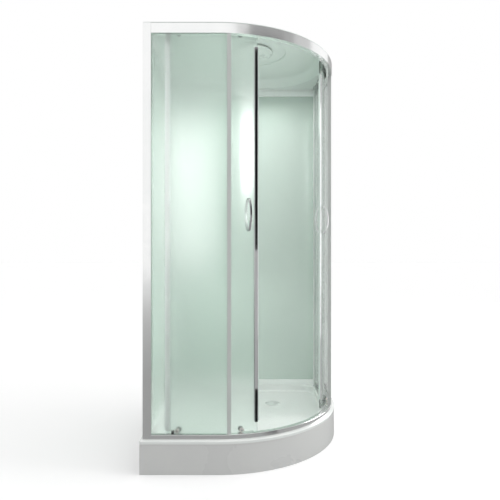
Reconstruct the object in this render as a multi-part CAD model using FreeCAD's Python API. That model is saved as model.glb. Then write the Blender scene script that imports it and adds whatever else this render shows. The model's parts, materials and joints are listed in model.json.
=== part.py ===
"""Quadrant shower enclosure: low tray, curved rails, two curved sliding doors, roof.

Millimetres, +Z up. The origin is the middle of the square footprint, on the floor.
The room corner is at (-X, +Y); the curved front faces (+X, -Y). Everything on the
front is the same on both sides of the diagonal plane x = -y, so the left half is
modelled and mirrored. Along the front, `n` is the distance inwards from the outer
face of the rails.
"""
import FreeCAD, Part
import cmath
import math
import os
from FreeCAD import Vector as V

# ---------------------------------------------------------------- overall sizes
side = 1000.0             # tray, outer edge to outer edge, both ways
front_radius = 640.0      # radius of the tray's curved edge
tray_height = 156.5       # floor to the tray's rim
frame_top = 2091.0        # floor to the top of the rails and posts

# ---------------------------------------------------------------- tray and skirt
tray_edge = 14.0          # the rim stands this far outside the rails
tray_wall = 5.0           # acrylic with its backing
lip_height = 15.0         # turned-down outer lip
lip_round = 6.0
tray_corner = 12.0
basin_depth = 41.0
basin_front = 78.0        # tray edge to basin, at the curved front
basin_wall = 39.0         # tray edge to basin, along the two walls
basin_corner = 90.0
basin_round = 14.0        # fillet at the foot of the basin's sides
apron_setback = 2.0
apron_wall = 3.0
apron_flange = 18.0

# ---------------------------------------------------------------- stand
tube = 25.0
tube_wall = 2.0
beam_inset = 170.0        # beam lines, from the tray's edge
beam_gap = 75.0           # a long beam's ends, from the tray's edge
foot_gap = 59.0           # pad's rim to the skirt, along the short beams
foot_radius = 25.0
foot_height = 8.0
rod_radius = 6.0
nut_width = 19.0
nut_height = 10.0
foot_inset = 12.5         # foot centre to the short beam's end

# ---------------------------------------------------------------- waste
drain_x = 148.0
drain_y = 203.0
drain_cover_radius = 45.0
drain_hole_radius = 30.0
drain_recess = 4.0
cup_radius = 42.0
cup_height = 80.0
cup_wall = 3.0
pipe_radius = 20.0
pipe_length = 120.0
boss_radius = 24.0
boss_length = 6.0

# ---------------------------------------------------------------- rails and posts
wall = 2.0                # aluminium wall
rail_overhang = 4.0       # the top rail reaches this far past a closed door's glass
top_fascia = 47.5
bottom_fascia = 23.5
pocket = 8.5              # glazing pocket
rail_lip = 7.0
top_ledge_rise = 2.5      # underside of the top ledge above the fascia's edge
edge_round = 1.6
post_front = 40.0         # post, along the front
post_deep = 50.0          # post, along the wall
post_pocket = 14.0
wall_profile_deep = 24.0
wall_profile_thin = 18.0
wall_profile_high = 33.0

# ---------------------------------------------------------------- glazing
fixed_glass = 5.0
fixed_glass_out = 4.0     # outer face of the fixed panes behind the fascia
glass_in_pocket = 11.0
fixed_edge_angle = 5.7    # free edge of a fixed pane, round the arc from its start
strip_width = 19.0
strip_wall = 1.5
strip_lip = 13.0
fit = 0.3                 # general clearance

# ---------------------------------------------------------------- doors
door_glass = 6.0
glass_bulge = 15.6        # room for the open glass's curve past its rollers
door_overlap = 57.6       # closed door past the fixed pane's free edge
door_meet = 0.6           # each door's share of the gap where they meet
door_sill = 9.5           # glass above the tray's rim
door_head = 11.0          # glass below the top of the rail
front_roller = 92.8       # from the leading edge, round the glass
rear_roller = 65.6        # from the trailing edge, round the glass
open_setback = 185.6      # open rear roller before the arc's start
open_post = 120.4         # or as near as this to the post's side
glass_lead = 8.0          # leading edge of the glass behind the door's tip
glass_trail = 3.0         # trailing edge of the glass inside its strip
glass_play = 0.3          # glass to the walls of its edge profiles
lead_middle = 14.0        # middle of the leading channel, behind the door's tip
lead_width = 19.0
lead_deep = 11.0
lead_end = 6.0            # rounding of the channel's ends
seal_nose = 9.0
seal_neck = 5.0
seal_root = 6.6           # how far the seal reaches back from the door's tip
lead_low_gap = 32.0       # channel's end above the bottom rail
lead_high_gap = 30.5      # channel's end below the top rail
trail_width = 22.0
trail_lip = 12.0
drip_height = 9.0

# ---------------------------------------------------------------- rollers
wheel_radius = 11.0
wheel_width = 9.0
wheel_dish = 1.5
wheel_tread = 2.0         # tread's thickness
wheel_standoff = 13.0     # glass to wheel
axle_radius = 3.0
axle_play = 0.08
hub_radius = 5.0
bush_radius = 5.8
glass_hole = 6.2
cap_radius = 12.0
cap_height = 8.0
cap_bevel = 2.0
axle_head = 1.8
wheel_wander = 8.8        # rear wheels stray this far outwards in mid-travel
wheel_clear = 0.6         # and then clear the glazing pocket by this

# ---------------------------------------------------------------- handles
handle_from_edge = 53.0
handle_height = 1206.0
handle_half = 80.0
handle_reach = 36.0
handle_bar = 7.0
handle_width = 12.0
handle_foot = 10.5        # height of the pull's foot on the glass
handle_turn = 21.0        # radius where the pull leaves the glass
handle_bevel = 2.0
handle_hole = 4.2

# ---------------------------------------------------------------- stops and brackets
stop_gap = 1.6            # open rear wheel to its stop
stop_long = 12.0
stop_high = 15.0
bracket_long = 36.0
bracket_wall = 3.0

# ---------------------------------------------------------------- roof
roof_sheet = 3.5
roof_inset = 1.0
dome_front = 60.0         # rail face to the dome's foot, at the front
dome_wall = 44.0
dome_flat = 2.0           # straight between the dome's front and its side corners
dome_room_corner = 60.0
dome_slope = 38.0
dome_height = 50.0
ring_radius = 200.0
ring_step = 5.0
rose_x = 15.0
rose_y = -15.0
rose_radius = 123.0
rose_thick = 12.0
rose_rim = 7.0
rose_bevel = 2.5
neck_radius = 12.0
neck_rise = 2.0           # neck above the roof, the hose's seat
inlet_radius = 10.5
inlet_rise = 14.0         # inlet above the roof
screw_head = 4.5
screw_shank = 2.0

# ---------------------------------------------------------------- worked out
half = side / 2
face = half - tray_edge                   # rail face from the middle
arc_x = half - front_radius               # arc centre is (arc_x, -arc_x)
arc_centre = V(arc_x, -arc_x, 0)
beam_at = half - beam_inset
beam_end = half - beam_gap
skirt_inner = front_radius - apron_setback - apron_flange - foot_radius
short_foot = arc_x + math.sqrt(skirt_inner ** 2 - (beam_at - arc_x) ** 2) - foot_gap
beam_short = short_foot + foot_inset
rail_radius = face - arc_x
fascia_low = frame_top - top_fascia
ledge_low = fascia_low + top_ledge_rise
bottom_top = tray_height + bottom_fascia
web_out = wall + pocket
web_in = web_out + wall
door_out = (web_in + wheel_clear + axle_head + fit + wheel_wander + wheel_width
            + wheel_standoff)             # outer face of a closed door's glass
track_edge = door_out - glass_bulge       # inner edge of the wheels' ledges
rail_depth = door_out + door_glass + rail_overhang
door_bottom = tray_height + door_sill
door_top = frame_top - door_head
lead_bottom = bottom_top + lead_low_gap
lead_top = fascia_low - lead_high_gap
track_low = bottom_top - wall             # top face of the bottom ledge
track_high = ledge_low + wall             # top face of the top ledge
wheel_z_low = track_low + fit + wheel_radius
wheel_z_high = track_high + fit + wheel_radius
tray_floor = tray_height - basin_depth
fixed_in = fixed_glass_out + fixed_glass
door_in = door_out + door_glass
glass_radius = rail_radius - door_out
door_arc = glass_radius * math.radians(45 - fixed_edge_angle) + door_overlap
open_rear_x = max(arc_x - open_setback, -face + post_front + open_post)
roof_base = frame_top + roof_sheet
roof_crown = frame_top + dome_height
inlet_top = roof_crown + ring_step + inlet_rise

UP = V(0, 0, 1)
OUT_DIR = "parts"


# ---------------------------------------------------------------- outlines
def rounded_wire(corners):
    """Closed wire through (point, radius) corners, each rounded by its radius."""
    count = len(corners)
    starts, ends, mids = [], [], []
    for i, (point, radius) in enumerate(corners):
        to_prev = (corners[i - 1][0] - point).normalize()
        to_next = (corners[(i + 1) % count][0] - point).normalize()
        if radius <= 0:
            starts.append(point)
            ends.append(point)
            mids.append(None)
            continue
        half_angle = to_prev.getAngle(to_next) / 2
        reach = radius / math.tan(half_angle)
        bisector = (to_prev + to_next).normalize()
        centre = point + bisector * (radius / math.sin(half_angle))
        starts.append(point + to_prev * reach)
        ends.append(point + to_next * reach)
        mids.append(centre - bisector * radius)
    edges = []
    for i in range(count):
        if mids[i] is not None:
            edges.append(Part.Arc(starts[i], mids[i], ends[i]).toShape())
        after = starts[(i + 1) % count]
        if ends[i].distanceToPoint(after) > 1e-6:
            edges.append(Part.LineSegment(ends[i], after).toShape())
    return Part.Wire(edges)


def plan_face(points, z):
    """Face at height z from (x, y, corner radius) points."""
    return Part.Face(rounded_wire([(V(x, y, z), r) for x, y, r in points]))


def prism(points, z_low, z_high):
    """Upright prism on a plan outline."""
    return plan_face(points, z_low).extrude(UP * (z_high - z_low))


def box(x0, x1, y0, y1, z0, z1):
    """Box between two corners."""
    return Part.makeBox(x1 - x0, y1 - y0, z1 - z0, V(x0, y0, z0))


def rod(x, y, z_low, z_high, radius):
    """Upright cylinder."""
    return Part.makeCylinder(radius, z_high - z_low, V(x, y, z_low))


def quadrant(front, back, z_low, z_high, corner, room_corner):
    """Prism of the quadrant plan, inset from the tray's edge at the front and walls."""
    outline = [
        (-half + back, -half + front, corner),
        (half - front, -half + front, front_radius - front),
        (half - front, half - back, corner),
        (-half + back, half - back, room_corner),
    ]
    return prism(outline, z_low, z_high)


def mirrored(shape):
    """The same piece on the other side of the diagonal plane x = -y."""
    return shape.mirror(V(0, 0, 0), V(1, 1, 0))


def fused(shapes):
    """One clean solid from pieces that meet."""
    whole = shapes[0].fuse(shapes[1:]) if len(shapes) > 1 else shapes[0]
    return whole.removeSplitter()


# ---------------------------------------------------------------- the curved front
def section_face(section, holes=()):
    """Section given as (n, z, corner radius) points, where the arc begins."""
    def wire(points):
        return rounded_wire([(V(arc_x, -face + n, z), r) for n, z, r in points])
    shape = Part.Face(wire(section))
    for hole in holes:
        shape = shape.cut(Part.Face(wire(hole)))
    return shape.Faces[0]


def along_front(section, x_from=None, arc_from=0.0, arc_to=90.0, y_to=None, holes=()):
    """Carry a section along the left leg, round the arc and up the right leg."""
    start = section_face(section, holes)
    spans = []
    if x_from is not None:
        spans.append(start.extrude(V(x_from - arc_x, 0, 0)))
    if arc_to > arc_from:
        first = start.copy()
        first.rotate(arc_centre, UP, arc_from)
        spans.append(first.revolve(arc_centre, UP, arc_to - arc_from))
    if y_to is not None:
        last = start.copy()
        last.rotate(arc_centre, UP, 90)
        spans.append(last.extrude(V(0, y_to + arc_x, 0)))
    return fused(spans)


def at_arc(shape, degrees):
    """Move a piece drawn where the arc begins to its place round the arc."""
    moved = shape.copy()
    moved.rotate(arc_centre, UP, degrees)
    return moved


def clip(s0, s1, n0, n1, z0, z1, corner=0.0):
    """Upright bar by the arc's start: s along the front, n inwards."""
    outline = [
        (arc_x + s0, -face + n0, corner),
        (arc_x + s1, -face + n0, corner),
        (arc_x + s1, -face + n1, corner),
        (arc_x + s0, -face + n1, corner),
    ]
    return prism(outline, z0, z1)


# ---------------------------------------------------------------- tray and stand
def make_tray():
    """Acrylic pan: flat rim, turned-down lip, filleted basin, drain recess."""
    rim_low = tray_height - tray_wall
    rim = quadrant(0, 0, tray_height - lip_height, tray_height, tray_corner, tray_corner)
    top = [e for e in rim.Edges if abs(e.CenterOfMass.z - tray_height) < 0.01]
    rim = rim.makeFillet(lip_round, top)
    rim = rim.cut(quadrant(tray_wall, tray_wall, 0, rim_low, tray_corner - tray_wall,
                           tray_corner - tray_wall))
    shell = quadrant(basin_front - tray_wall, basin_wall - tray_wall,
                     tray_floor - tray_wall, tray_height - tray_wall / 2,
                     basin_corner + tray_wall, basin_corner + tray_wall)
    basin = quadrant(basin_front, basin_wall, tray_floor, tray_height + tray_wall,
                     basin_corner, basin_corner)
    foot = [e for e in basin.Edges if abs(e.CenterOfMass.z - tray_floor) < 0.01]
    basin = basin.makeFillet(basin_round, foot)
    tray = rim.fuse(shell).cut(basin)
    recess = rod(drain_x, drain_y, tray_floor - drain_recess / 2, tray_height,
                 drain_cover_radius + 1.5)
    hole = rod(drain_x, drain_y, 0, tray_height, drain_hole_radius)
    return tray.cut(recess).cut(hole).removeSplitter()


def make_apron():
    """Curved skirt under the tray's lip, with a turned-in flange at top and foot."""
    out = -tray_edge + apron_setback
    high = tray_height - lip_height
    section = [
        (out, 0, 0),
        (out, high, 0),
        (out + apron_flange, high, 0),
        (out + apron_flange, high - apron_wall, 0),
        (out + apron_wall, high - apron_wall, 0),
        (out + apron_wall, apron_wall, 0),
        (out + apron_flange, apron_wall, 0),
        (out + apron_flange, 0, 0),
    ]
    end = half - apron_setback
    return along_front(section, x_from=-end, y_to=end)


def beam_lines():
    """The stand's four beams, as (x0, x1, y0, y1) centre lines."""
    return [
        (-beam_end, beam_short, -beam_at, -beam_at),
        (-beam_end, beam_end, beam_at, beam_at),
        (-beam_at, -beam_at, -beam_end, beam_end),
        (beam_at, beam_at, -beam_short, beam_end),
    ]


def make_stand():
    """Welded square tube under the basin."""
    high = tray_floor - tray_wall
    outer, inner = [], []
    for x0, x1, y0, y1 in beam_lines():
        grow = tube / 2
        outer.append(box(x0 - (x0 == x1) * grow, x1 + (x0 == x1) * grow,
                         y0 - (y0 == y1) * grow, y1 + (y0 == y1) * grow, high - tube, high))
        thin = grow - tube_wall
        inner.append(box(x0 - (x0 == x1) * thin, x1 + (x0 == x1) * thin,
                         y0 - (y0 == y1) * thin, y1 + (y0 == y1) * thin,
                         high - tube + tube_wall, high - tube_wall))
    return fused(outer).cut(fused(inner)).removeSplitter()


def foot_places():
    """Where the five feet stand: three beam crossings and the two short ends."""
    return [(-beam_at, -beam_at), (-beam_at, beam_at), (beam_at, beam_at),
            (short_foot, -beam_at), (beam_at, -short_foot)]


def make_feet():
    """Levelling feet: pad and threaded rod."""
    high = tray_floor - tray_wall - tube
    feet = []
    for x, y in foot_places():
        pad = Part.makeCone(foot_radius, foot_radius - 5, foot_height, V(x, y, 0))
        feet.append(pad.fuse(rod(x, y, foot_height, high, rod_radius)).removeSplitter())
    return Part.makeCompound(feet)


def make_foot_nuts():
    """Lock nuts run up against the stand."""
    high = tray_floor - tray_wall - tube
    across = nut_width / math.sqrt(3)
    nuts = []
    for x, y in foot_places():
        ring = [V(x + across * math.cos(math.radians(60 * k)),
                  y + across * math.sin(math.radians(60 * k)), high - nut_height)
                for k in range(7)]
        nut = Part.Face(Part.makePolygon(ring)).extrude(UP * nut_height)
        nuts.append(nut.cut(rod(x, y, 0, high + 1, rod_radius + fit)))
    return Part.makeCompound(nuts)


def make_drain_body():
    """Trap cup hung under the basin; a boss stops the hose on its outlet."""
    under = tray_floor - tray_wall
    cup = rod(drain_x, drain_y, under - cup_height, under, cup_radius)
    cup = cup.fuse(rod(drain_x, drain_y, under - 4, under, cup_radius + 8))
    level = under - cup_height + pipe_radius + 6
    pipe = Part.makeCylinder(pipe_radius, pipe_length, V(drain_x, drain_y, level), V(0, 1, 0))
    boss = Part.makeCylinder(boss_radius, cup_radius + boss_length, V(drain_x, drain_y, level),
                             V(0, 1, 0))
    cup = cup.fuse([pipe, boss])
    cup = cup.cut(rod(drain_x, drain_y, under - cup_height + cup_wall, under + 1,
                      cup_radius - cup_wall))
    bore = Part.makeCylinder(pipe_radius - cup_wall, pipe_length + 1,
                             V(drain_x, drain_y, level), V(0, 1, 0))
    return cup.cut(bore).removeSplitter()


def make_drain_cover():
    """Round bevelled cover on the recess, with a plug collar down the hole."""
    low = tray_floor - drain_recess / 2
    plate = rod(drain_x, drain_y, low, low + 2.5, drain_cover_radius)
    crown = Part.makeCone(drain_cover_radius, drain_cover_radius - 4, 3.5,
                          V(drain_x, drain_y, low + 2.5))
    collar = rod(drain_x, drain_y, low - 10, low, drain_hole_radius - 2)
    collar = collar.cut(rod(drain_x, drain_y, low - 11, low, drain_hole_radius - 4))
    return plate.fuse([crown, collar]).removeSplitter()


# ---------------------------------------------------------------- rails
def make_top_rail():
    """Top extrusion: fascia, glazing pocket, wheel ledge, roof seat and inner lip."""
    section = [
        (0, fascia_low, 0),
        (0, frame_top - edge_round, 0),
        (edge_round, frame_top, 0),
        (rail_depth, frame_top, 0),
        (rail_depth, frame_top - rail_lip, 0),
        (rail_depth - wall, frame_top - rail_lip, 0),
        (rail_depth - wall, frame_top - wall, 0),
        (web_in, frame_top - wall, 0),
        (web_in, track_high, 0),
        (track_edge, track_high, 0),
        (track_edge, ledge_low, 0),
        (web_in, ledge_low, 0),
        (web_in, fascia_low, 0),
        (web_out, fascia_low, 0),
        (web_out, frame_top - wall, 0),
        (wall, frame_top - wall, 0),
        (wall, fascia_low, 0),
    ]
    end = face - post_front
    rail = along_front(section, x_from=-end, y_to=end)
    for x, y in roof_screw_places(rail_depth / 2):
        rail = rail.cut(rod(x, y, frame_top - wall - 1, frame_top + 1, screw_shank + fit))
    return rail


def make_bottom_rail():
    """Bottom extrusion: sill fascia, glazing pocket and a closed chamber as the ledge."""
    section = [
        (0, tray_height, 0),
        (0, bottom_top - wall / 2, 0),
        (wall / 2, bottom_top, 0),
        (wall, bottom_top, 0),
        (wall, tray_height + wall, 0),
        (web_out, tray_height + wall, 0),
        (web_out, bottom_top, 0),
        (web_in, bottom_top, 0),
        (web_in, track_low, 0),
        (track_edge, track_low, 0),
        (track_edge, tray_height, 0),
    ]
    chamber = [
        (web_in, tray_height + wall, 0),
        (web_in, track_low - wall, 0),
        (track_edge - wall, track_low - wall, 0),
        (track_edge - wall, tray_height + wall, 0),
    ]
    end = face - post_front
    return along_front(section, x_from=-end, y_to=end, holes=[chamber])


def make_filler(z_low, z_high):
    """Strip that closes a rail's empty glazing pocket between the fixed panes."""
    section = [
        (wall + fit, z_low, 0),
        (wall + fit, z_high, 0),
        (web_out - fit, z_high, 0),
        (web_out - fit, z_low, 0),
    ]
    start = fixed_edge_angle + 0.15
    return along_front(section, arc_from=start, arc_to=90 - start)


def make_bottom_filler():
    """Sill filler, flush with the fascia's top edge."""
    return make_filler(tray_height + wall, bottom_top - 0.5)


def make_top_filler():
    """Header filler, flush with the fascia's lower edge."""
    return make_filler(fascia_low + 0.5, fascia_low + 12)


# ---------------------------------------------------------------- posts and walls
def make_front_post():
    """Hollow post at the front left, with a pocket for each pane that meets it."""
    x0, x1 = -face, -face + post_front
    y0, y1 = -face, -face + post_deep
    body = prism([(x0, y0, 3.0), (x1, y0, edge_round), (x1, y1, edge_round),
                  (x0, y1, edge_round)], tray_height, frame_top)
    room = web_in
    chamber = box(x0 + room, x1 - post_pocket - wall, y0 + room, y1 - post_pocket - wall,
                  tray_height - 1, frame_top + 1)
    front_slot = box(x1 - post_pocket, x1 + 1, y0 + wall, y0 + web_out,
                     tray_height - 1, frame_top + 1)
    side_slot = box(x0 + wall, x0 + web_out, y1 - post_pocket, y1 + 1,
                    tray_height - 1, frame_top + 1)
    return body.cut(chamber).cut(front_slot).cut(side_slot).removeSplitter()


def make_corner_post():
    """Hollow post in the room corner."""
    x0, x1 = -face, -face + post_front
    y0, y1 = face - post_front, face
    body = prism([(x0, y0, edge_round), (x1, y0, edge_round), (x1, y1, edge_round),
                  (x0, y1, edge_round)], tray_height, frame_top)
    chamber = box(x0 + web_in, x1 - post_pocket - wall, y0 + post_pocket + wall,
                  y1 - web_in, tray_height - 1, frame_top + 1)
    side_slot = box(x0 + wall, x0 + web_out, y0 - 1, y0 + post_pocket,
                    tray_height - 1, frame_top + 1)
    back_slot = box(x1 - post_pocket, x1 + 1, y1 - web_out, y1 - wall,
                    tray_height - 1, frame_top + 1)
    return body.cut(chamber).cut(side_slot).cut(back_slot).removeSplitter()


def wall_bar(section):
    """Carry a section, (distance in from the wall face, z), along the left wall."""
    y0, y1 = -face + post_deep, face - post_front
    points = [(V(-face + n, y0, z), r) for n, z, r in section]
    return Part.Face(rounded_wire(points)).extrude(V(0, y1 - y0, 0))


def make_wall_top():
    """Top profile over a wall pane, stepped in where the roof's skirt comes down."""
    low = fascia_low + 1.5
    step = low + wall_profile_high
    return wall_bar([
        (0, low, 0),
        (0, frame_top, 0),
        (wall_profile_thin, frame_top, 0),
        (wall_profile_thin, step, 0),
        (wall_profile_deep, step, edge_round),
        (wall_profile_deep, low, edge_round),
        (web_out, low, 0),
        (web_out, low + post_pocket + 6, 0),
        (wall, low + post_pocket + 6, 0),
        (wall, low, 0),
    ])


def make_wall_bottom():
    """Bottom profile under a wall pane, standing on the tray's rim."""
    high = tray_height + wall_profile_high
    return wall_bar([
        (0, tray_height, 0),
        (0, high, 0),
        (wall, high, 0),
        (wall, high - post_pocket, 0),
        (web_out, high - post_pocket, 0),
        (web_out, high, 0),
        (wall_profile_deep, high, edge_round),
        (wall_profile_deep, tray_height, 0),
    ])


def make_wall_pane():
    """Flat pane along the left wall, seated in its posts and profiles."""
    x0 = -face + fixed_glass_out
    y0 = -face + post_deep - glass_in_pocket
    y1 = face - post_front + glass_in_pocket
    z0 = tray_height + wall_profile_high - post_pocket + fit
    z1 = fascia_low + 1.5 + glass_in_pocket
    return box(x0, x0 + fixed_glass, y0, y1, z0, z1)


# ---------------------------------------------------------------- fixed front panes
def make_fixed_pane():
    """Front pane: flat, with its free edge just round the arc."""
    low = tray_height + wall + fit
    high = fascia_low + 30
    section = [
        (fixed_glass_out, low, 0),
        (fixed_glass_out, high, 0),
        (fixed_in, high, 0),
        (fixed_in, low, 0),
    ]
    start = -face + post_front - glass_in_pocket
    return along_front(section, x_from=start, arc_to=fixed_edge_angle)


def make_fixed_strip():
    """U strip on a fixed pane's free edge, with a lip that meets the door's."""
    low, high = bottom_top + fit, fascia_low - fit
    half_width = strip_width / 2
    outer = clip(-half_width, half_width, fixed_glass_out - glass_play - strip_wall,
                 fixed_in + glass_play + strip_wall, low, high, 0.6)
    slot = clip(-half_width - 1, half_width - glass_trail + fit,
                fixed_glass_out - glass_play, fixed_in + glass_play, low - 1, high + 1)
    lip = clip(half_width - 1 - strip_wall, half_width - 1,
               fixed_in + glass_play + strip_wall / 2, fixed_in + strip_lip, low, high)
    edge_radius = rail_radius - fixed_glass_out
    middle = fixed_edge_angle - math.degrees((half_width - glass_trail) / edge_radius)
    return at_arc(fused([outer.cut(slot), lip]), middle)


# ---------------------------------------------------------------- roof
def roof_screw_places(inset):
    """Screw places over the rails' middle: two on each leg and two on the arc."""
    line = face - inset
    spots = [(-face + 90.0, -line), (arc_x - 60.0, -line)]
    for degrees in (22.5, 67.5):
        angle = math.radians(degrees)
        reach = rail_radius - inset
        spots.append((arc_x + reach * math.sin(angle), -arc_x - reach * math.cos(angle)))
    spots += [(line, -arc_x + 60.0), (line, face - 90.0)]
    return spots


def dome(front, back, z_low, z_high):
    """Tapered dome over the quadrant plan, its front arc running into round corners."""
    wires = []
    for grow, z in ((0.0, z_low), (dome_slope, z_high)):
        f, b = tray_edge + front + grow, tray_edge + back + grow
        turn = side - b - front_radius - dome_flat
        room = dome_room_corner - grow / 2
        wires.append(rounded_wire([
            (V(-half + b, -half + f, z), turn),
            (V(half - f, -half + f, z), front_radius - f),
            (V(half - f, half - b, z), turn),
            (V(-half + b, half - b, z), room),
        ]))
    return Part.makeLoft(wires, True, True)


def make_roof():
    """Thermoformed roof: flange on the frame, tapered dome, raised ring in the middle."""
    crown = roof_crown
    inset = tray_edge + roof_inset
    flange = quadrant(inset, inset, frame_top, roof_base, 4.0, 4.0)
    shell = dome(dome_front, dome_wall, frame_top, crown)
    lifted = rod(rose_x, rose_y, crown - 1, crown + ring_step, ring_radius)
    hollow = dome(dome_front + roof_sheet, dome_wall + roof_sheet,
                  frame_top - 0.01, crown - roof_sheet)
    well = rod(rose_x, rose_y, frame_top, crown + ring_step - roof_sheet,
               ring_radius - roof_sheet)
    roof = flange.fuse([shell, lifted]).cut(hollow).cut(well)
    roof = roof.cut(rod(rose_x, rose_y, frame_top, inlet_top + 1, neck_radius + fit))
    for x, y in roof_screw_places(rail_depth / 2):
        roof = roof.cut(rod(x, y, frame_top - 1, roof_base + 1, screw_shank + fit))
    return roof.removeSplitter()


def make_roof_screws():
    """Pan-head screws through the roof's flange into the top rail."""
    screws = []
    for x, y in roof_screw_places(rail_depth / 2):
        head = Part.makeCone(screw_head, screw_head - 1.5, 2.6, V(x, y, roof_base))
        screws.append(head.fuse(rod(x, y, frame_top - wall - 6, roof_base, screw_shank)))
    return Part.makeCompound(screws)


def make_rose():
    """Overhead shower plate under the ceiling, with its inlet up through the roof."""
    ring_top = roof_crown + ring_step
    ceiling = ring_top - roof_sheet
    low = ceiling - rose_thick
    outline = [
        (V(0, 0, low), 0),
        (V(rose_radius - rose_bevel, 0, low), 0),
        (V(rose_radius, 0, low + rose_bevel), 0),
        (V(rose_radius, 0, low + rose_rim), 0),
        (V(rose_radius - 30, 0, ceiling), 0),
        (V(neck_radius, 0, ceiling), 0),
        (V(neck_radius, 0, ring_top + neck_rise), 0),
        (V(inlet_radius, 0, ring_top + neck_rise), 0),
        (V(inlet_radius, 0, inlet_top), 0),
        (V(0, 0, inlet_top), 0),
    ]
    body = Part.Face(rounded_wire(outline)).revolve(V(0, 0, 0), UP, 360)
    body.translate(V(rose_x, rose_y, 0))
    return body


# ---------------------------------------------------------------- doors, drawn closed
def degrees_back(distance):
    """Angle round the arc of a point this far back from a closed door's leading edge."""
    return 45.0 - math.degrees((door_meet + distance) / glass_radius)


def roller_angles():
    """Angles of the front and rear rollers of a closed door."""
    return degrees_back(front_roller), degrees_back(door_arc - rear_roller)


def door_swing():
    """Turn that takes the open left door to its closed place: pole (x, y), degrees.

    Open, both rollers stand on the track, the rear one on the straight leg. The
    displacement between the two places is one rotation about the pole.
    """
    centre = complex(arc_x, -arc_x)
    closed = []
    for degrees in roller_angles():
        closed.append(centre + glass_radius * cmath.exp(1j * math.radians(degrees - 90)))
    front_closed, rear_closed = closed
    span = abs(front_closed - rear_closed)
    rear_open = complex(open_rear_x, -face + door_out)
    reach = abs(centre - rear_open)
    bend = math.acos((reach ** 2 + glass_radius ** 2 - span ** 2) / (2 * reach * glass_radius))
    start = cmath.phase(rear_open - centre)
    front_open = centre + glass_radius * cmath.exp(1j * (start + bend))
    turn = cmath.phase((front_closed - rear_closed) / (front_open - rear_open))
    spin = cmath.exp(1j * turn)
    pole = (front_closed - spin * front_open) / (1 - spin)
    return pole.real, pole.imag, math.degrees(turn)


def opened(shape):
    """A piece of the left door, moved from its closed place to where it stands open."""
    x, y, degrees = door_swing()
    moved = shape.copy()
    moved.rotate(V(x, y, 0), UP, -degrees)
    return moved


def open_wheels():
    """Centre and inward axle direction of the open left door's front and rear wheels."""
    x, y, degrees = door_swing()
    pole, spin = V(x, y, 0), FreeCAD.Rotation(UP, -degrees)
    reach = rail_radius - door_out + wheel_standoff + wheel_width / 2
    wheels = []
    for angle in roller_angles():
        turn = math.radians(angle)
        spot = arc_centre + V(reach * math.sin(turn), -reach * math.cos(turn), 0)
        inward = spin.multVec(V(-math.sin(turn), math.cos(turn), 0))
        wheels.append((pole + spin.multVec(spot - pole), inward))
    return wheels


def turned(profile):
    """Revolve (n, radius, corner radius) points about the line inwards at the arc's start."""
    points = [(V(arc_x, -face + n, r), c) for n, r, c in profile]
    axis = V(arc_x, 0, 0)
    return Part.Face(rounded_wire(points)).revolve(axis, V(0, 1, 0), 360)


def at_roller(shape, z, degrees):
    """Place a turned roller part at its height and round the arc."""
    moved = shape.copy()
    moved.translate(V(0, 0, z))
    return at_arc(moved, degrees)


def handle_bolt_heights():
    """Heights of the two bushes, in the middle of the pulls' feet."""
    reach = handle_half - handle_foot / 2
    return handle_height - reach, handle_height + reach


def make_door_glass():
    """Curved pane with holes for the rollers and the handle bolts."""
    section = [
        (door_out, door_bottom, 0),
        (door_out, door_top, 0),
        (door_in, door_top, 0),
        (door_in, door_bottom, 0),
    ]
    glass = along_front(section, arc_from=degrees_back(door_arc - glass_trail),
                        arc_to=degrees_back(glass_lead))
    drill = Part.makeCylinder(glass_hole, door_glass + 8,
                              V(arc_x, -face + door_out - 4, 0), V(0, 1, 0))
    for degrees in roller_angles():
        for z in (wheel_z_low, wheel_z_high):
            glass = glass.cut(at_roller(drill, z, degrees))
    small = Part.makeCylinder(handle_hole, door_glass + 8,
                              V(arc_x, -face + door_out - 4, 0), V(0, 1, 0))
    for z in handle_bolt_heights():
        glass = glass.cut(at_roller(small, z, degrees_back(handle_from_edge)))
    return glass


def make_lead_profile():
    """Bright channel on the leading edge, with rounded ends and a seat for its seal."""
    middle = (door_out + door_in) / 2
    n0, n1 = middle - lead_deep / 2, middle + lead_deep / 2
    half_width = lead_width / 2
    body = clip(-half_width, half_width, n0, n1, lead_bottom, lead_top, 2.5)
    ends = Part.Face(rounded_wire([
        (V(arc_x + s, -face, z), lead_end)
        for s, z in ((-half_width, lead_bottom), (half_width, lead_bottom),
                     (half_width, lead_top), (-half_width, lead_top))
    ])).extrude(V(0, rail_depth + 10, 0))
    back = lead_middle - glass_lead
    slot = clip(-half_width - 1, back + fit, door_out - glass_play, door_in + glass_play,
                lead_bottom - 1, lead_top + 1)
    seat = clip(lead_middle - seal_root - fit, half_width + 1, middle - seal_neck / 2 - fit,
                middle + seal_neck / 2 + fit, lead_bottom - 1, lead_top + 1)
    return at_arc(body.common(ends).cut(slot).cut(seat), degrees_back(lead_middle))


def make_magnet_seal():
    """Magnetic closing strip held in the leading channel."""
    middle = (door_out + door_in) / 2
    low, high = lead_bottom + lead_end, lead_top - lead_end
    step = lead_middle - lead_width / 2 - fit / 2
    nose = clip(lead_middle - step, lead_middle, middle - seal_nose / 2,
                middle + seal_nose / 2, low, high, 1.0)
    root = clip(lead_middle - seal_root, lead_middle - step / 2, middle - seal_neck / 2,
                middle + seal_neck / 2, low, high)
    return at_arc(fused([nose, root]), degrees_back(lead_middle))


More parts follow.
